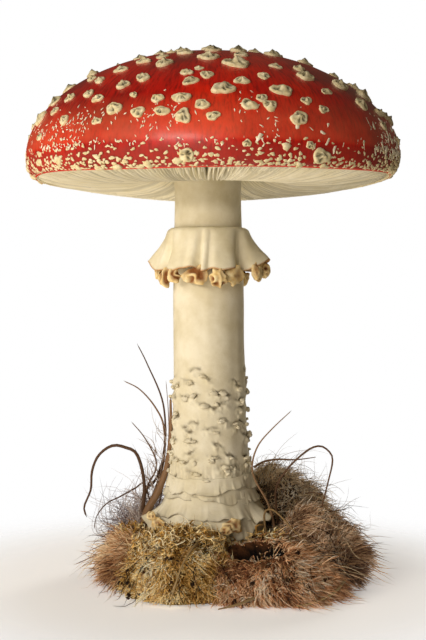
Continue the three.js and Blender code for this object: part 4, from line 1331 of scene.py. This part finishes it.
# For each kind: the mounds they root in, how many in all, length and thickness in mm, comb, curl, and
# how steeply they rise; then colours from dark to light.
LITTER = {
    "straws": (("moss_front_right", "moss_front_left", "moss_right", "moss_left", "moss_back",
                "moss_back_right"),
               520, (8, 20), 0.34, 1.5, 0.5, 0.2, ("#2a180d", "#7c5432", "#c49c6c", "#f0dcb4")),
    "black_rootlets": (("moss_front_right", "moss_front_left", "moss_right"),
                       110, (12, 22), 0.34, 1.7, 0.8, 0.1, ("#0b0705", "#1c120c", "#2e1f15", "#463022")),
    "pale_wisps": (("moss_back_left", "moss_back_left"),
                   640, (9, 24), 0.23, 0.1, 1.6, 0.9, ("#6f6062", "#9a8c8e", "#bfb3b4", "#ddd5d4")),
    "dark_wisps": (("moss_back_right", "moss_right", "moss_back_right"),
                   360, (8, 20), 0.2, 0.2, 1.2, 0.8, ("#5e4c38", "#8c765c", "#b6a288", "#dccdb6")),
}
LITTER_STEPS = 13
CLOD_MIDDLE = (4, 0)
REACH = 60  # no straw goes farther from the clod's middle than this, in mm
for index, (name, (nodes, count, lengths, thickness, comb, curl, rise, colours)) in enumerate(LITTER.items()):
    random = np.random.default_rng(400 + index)
    share = count // len(nodes)
    spots = [mound_places(node, share, 0.1, random) for node in nodes]
    root = np.concatenate([spot[0] for spot in spots])
    normal = np.concatenate([spot[1] for spot in spots])
    count = len(root)
    outward = unit(root * np.array([1, 1, 0]))
    upward = np.array([0, 0, 1.2]) * rise
    start = unit(0.5 * normal + 0.8 * outward + random.normal(0, 0.5, (count, 3)) + upward)
    bend = comb * (0.5 * outward + np.array([0, 0, -0.9])) + random.normal(0, 0.45, (count, 3))
    long = random.uniform(*lengths, count)
    line = grown_lines(root, start, bend, long, LITTER_STEPS, curl, (2, 7), random)
    farthest = np.linalg.norm(line[..., :2] - CLOD_MIDDLE, axis=-1).max(axis=1)
    kept = (farthest < REACH) & ~in_burrow(line).any(axis=1)
    line, count = line[kept], kept.sum()
    taper = 1 - 0.7 * np.linspace(0, 1, LITTER_STEPS) ** 2
    radii = thickness / 2 * random.uniform(0.6, 1.3, (count, 1)) * taper
    litter = strand_mesh(name, line, radii, STRAND_SIDES, random.random(count))
    # Dead stalks and rootlets: dry, with a little more shine than moss.
    litter.data.materials.append(strand_material(f"dead_{name}", colours, 0.6, 0.6))
    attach(litter, "root")

SOIL_CRUMBS = 420
SOIL_GRID = (4, 6)  # rings and sides of a crumb
random = np.random.default_rng(450)
spots = [mound_places(node, SOIL_CRUMBS // len(COATS), -0.3, random)[0] for node in COATS]
crumb_middle = np.concatenate(spots)
count = len(crumb_middle)
outward = unit(crumb_middle * np.array([1, 1, 0]))
crumb_middle = crumb_middle + outward * random.uniform(0, 3.5, (count, 1))
crumb_size = random.uniform(0.7, 2.3, (count, 1)) * random.uniform(0.6, 1, (count, 3))
crumb_middle[:, 2] = np.maximum(crumb_middle[:, 2], crumb_size[:, 2] * 0.55)
soil_points, soil_dark = crumbs(crumb_middle, random.uniform(0, 6, count), crumb_size, 451, *SOIL_GRID)
soil_points[..., 2] = np.maximum(soil_points[..., 2], 0.05)
soil = make_mesh("soil_crumbs", soil_points * MM, lantern_faces(count, *SOIL_GRID), {"crease": soil_dark})
# Crumbly forest humus: dark brown, matt, with painted shade in its folds.
humus = soft_flesh("crumbly_humus", ("#1d130c", "#513621"), 2.0, 0.95, 0.2, crease_colour="#0c0704")
soil.data.materials.append(humus)
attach(soil, "root")

# ---- Grass and roots ----------------------------------------------------------------------------
# Dry brown blades of grass, a dead leaf sheath and root strands rise from the moss. Each follows a
# smooth curve through a few points from its root to its fine tip.

# For each: its thickness in mm, the share of it that is left at the tip, and the points in mm.
BLADES = {
    "grass_tall": (1.2, 0.3, [(-29, 8, 17), (-26.4, 7, 30.5), (-21.6, 6, 36.4), (-18.4, 6, 48), (-19, 6, 65),
                              (-25, 6, 80), (-29, 6, 88)]),
    "grass_arched": (1.2, 0.3, [(-27, 10, 19), (-19.5, 9.5, 40), (-18.8, 9.5, 55), (-22, 9.5, 63),
                                (-28, 9.5, 70), (-34.5, 9.5, 73.5)]),
    "grass_short": (1.0, 0.3, [(-28.4, 4, 16), (-25, 3.4, 33), (-21.9, 3, 39.5), (-21.8, 3, 44.5),
                               (-26, 3, 52.5), (-31, 3, 58.5)]),
    "grass_hoop_left": (1.5, 0.45, [(-27.4, 0.6, 17), (-25.8, 0, 34), (-28.4, 0, 46), (-33, 0, 49),
                                    (-38, 0, 49.6), (-43, 0, 46), (-45.5, 0, 40), (-46, 0, 33),
                                    (-48.5, 0, 26.5), (-47.4, 0, 22.4)]),
    "leaf_sheath": (3.2, 0.25, [(-26.4, -1.5, 18), (-24.6, -1.5, 25.5), (-20.4, -1.2, 33), (-17.3, -1, 42),
                                (-15.9, -1, 53), (-15.9, -1, 68)]),
    "grass_pale": (0.7, 0.3, [(-22, 10, 19), (-18.7, 7, 36), (-16.8, 4, 52), (-17, 3, 64), (-17.8, 3, 74)]),
    "grass_fallen": (0.8, 0.4, [(-23.6, 12, 20), (-26, 10, 33.4), (-30, 8, 32.2), (-35.5, 6, 29.4),
                                (-40.3, 4, 27.2), (-44, 3, 22.6), (-45, 2, 17.6)]),
    "grass_upright_right": (1.0, 0.3, [(23.6, -9, 16), (20.5, -10, 29), (15.6, -10, 38), (14.4, -10, 44),
                                       (16.6, -10, 51), (21.6, -10, 57), (29, -10, 64)]),
    "grass_level_right": (0.9, 0.3, [(15.1, -9.7, 43), (18.8, -7, 44.6), (24, -5, 45.2), (31, -3, 44.8),
                                     (38.7, -2, 45.6)]),
    "grass_hoop_right": (0.9, 0.6, [(24.6, -2, 19), (23.4, -3, 33), (27, -4, 40.5), (32, -5, 46),
                                    (36.6, -5, 49.4), (40.5, -5, 50), (43.8, -5, 47.3), (44.4, -5, 44),
                                    (43, -5, 37.5), (40.3, -5, 27)]),
    "root_right": (0.9, 0.4, [(19.4, -16, 18), (18.6, -17.4, 27), (21, -19, 29), (24.5, -22, 26.8),
                              (28.4, -26, 23), (33, -29, 19)]),
    "root_right_low": (1.0, 0.4, [(46.5, -31, 6.4), (42, -38.5, 4), (35, -44.5, 2), (28, -47.5, 1.3)]),
    "root_front": (1.0, 0.4, [(-4.4, -31, 20), (-7, -38, 19), (-10.5, -43.8, 14.2), (-13, -48, 7.5),
                              (-14.5, -50.5, 1.6)]),
    "root_front_low": (1.1, 0.4, [(14, -47.6, 4.2), (9, -49, 2.6), (5, -50, 1.7), (1.5, -51, 1.2)]),
}
BLADE_STEPS, BLADE_SIDES = 40, 8
# Dry grass: straw darkened to brown, smooth along the blade, so it has a dull shine.
grass_finish = strand_material("dry_brown_grass", ("#3b2618", "#5e422b", "#846446", "#ac8c64"), 0.5, 0.7)
# Root strands: washed by rain to pale straw, matt.
root_finish = strand_material("bare_pale_root", ("#6b5436", "#94794f", "#b79f70", "#d6c294"), 0.7, 0.7)
for index, (node, (thickness, tip, route)) in enumerate(BLADES.items()):
    name, finish, slot = node.replace("grass", "blade"), grass_finish, "dry_grass"
    if node == "leaf_sheath":
        name, slot = "dead_leaf_sheath", "dead_leaf"
    elif node.startswith("root"):
        name, finish, slot = node.replace("root", "rootlet"), root_finish, "root"
    path = smooth_path(route, BLADE_STEPS)[None]
    taper = 1 + (tip - 1) * np.linspace(0, 1, BLADE_STEPS) ** 1.3
    # The shades jump about between a quarter and three quarters of the palette.
    shade = np.array([0.25 + 0.5 * ((index * 37) % 10) / 10])
    blade = strand_mesh(name, path, thickness / 2 * taper[None], BLADE_SIDES, shade)
    blade.data.materials.append(finish)
    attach(blade, "root")
    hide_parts(node)

# Fine dry wisps cling to the leaf sheath and rise beside it, thinning out upwards.
WISPS = 170
WISP_RADIUS = 0.11  # in mm
SHEATH_STEPS = 60
random = np.random.default_rng(470)
sheath = smooth_path(BLADES["leaf_sheath"][2], SHEATH_STEPS)
wisp_root = sheath[(SHEATH_STEPS * random.random(WISPS) ** 1.6 * 0.75).astype(int)]
wisp_root = wisp_root + np.array([-0.8, 1, 0]) * random.uniform(0.5, 7, (WISPS, 1))
wisp_start = unit(np.array([-0.35, 0.1, 1]) + random.normal(0, 0.22, (WISPS, 3)))
wisp_bend = random.normal(0, 0.35, (WISPS, 3))
wisp_length = random.uniform(6, 15, WISPS)
wisp_line = grown_lines(wisp_root, wisp_start, wisp_bend, wisp_length, LITTER_STEPS, 0.5, (1, 4), random)
wisp_taper = 1 - 0.8 * np.linspace(0, 1, LITTER_STEPS) ** 2
wisp_radii = WISP_RADIUS * random.uniform(0.6, 1.3, (WISPS, 1)) * wisp_taper
wisps = strand_mesh("sheath_wisps", wisp_line, wisp_radii, STRAND_SIDES, random.random(WISPS))
# Frayed leaf fibre: dry, pale and greyish.
wisps.data.materials.append(
    strand_material("dead_sheath_wisps", ("#8a7468", "#b09c90", "#cfc0b6", "#e8dfd8"), 0.6, 0.8)
)
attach(wisps, "root")
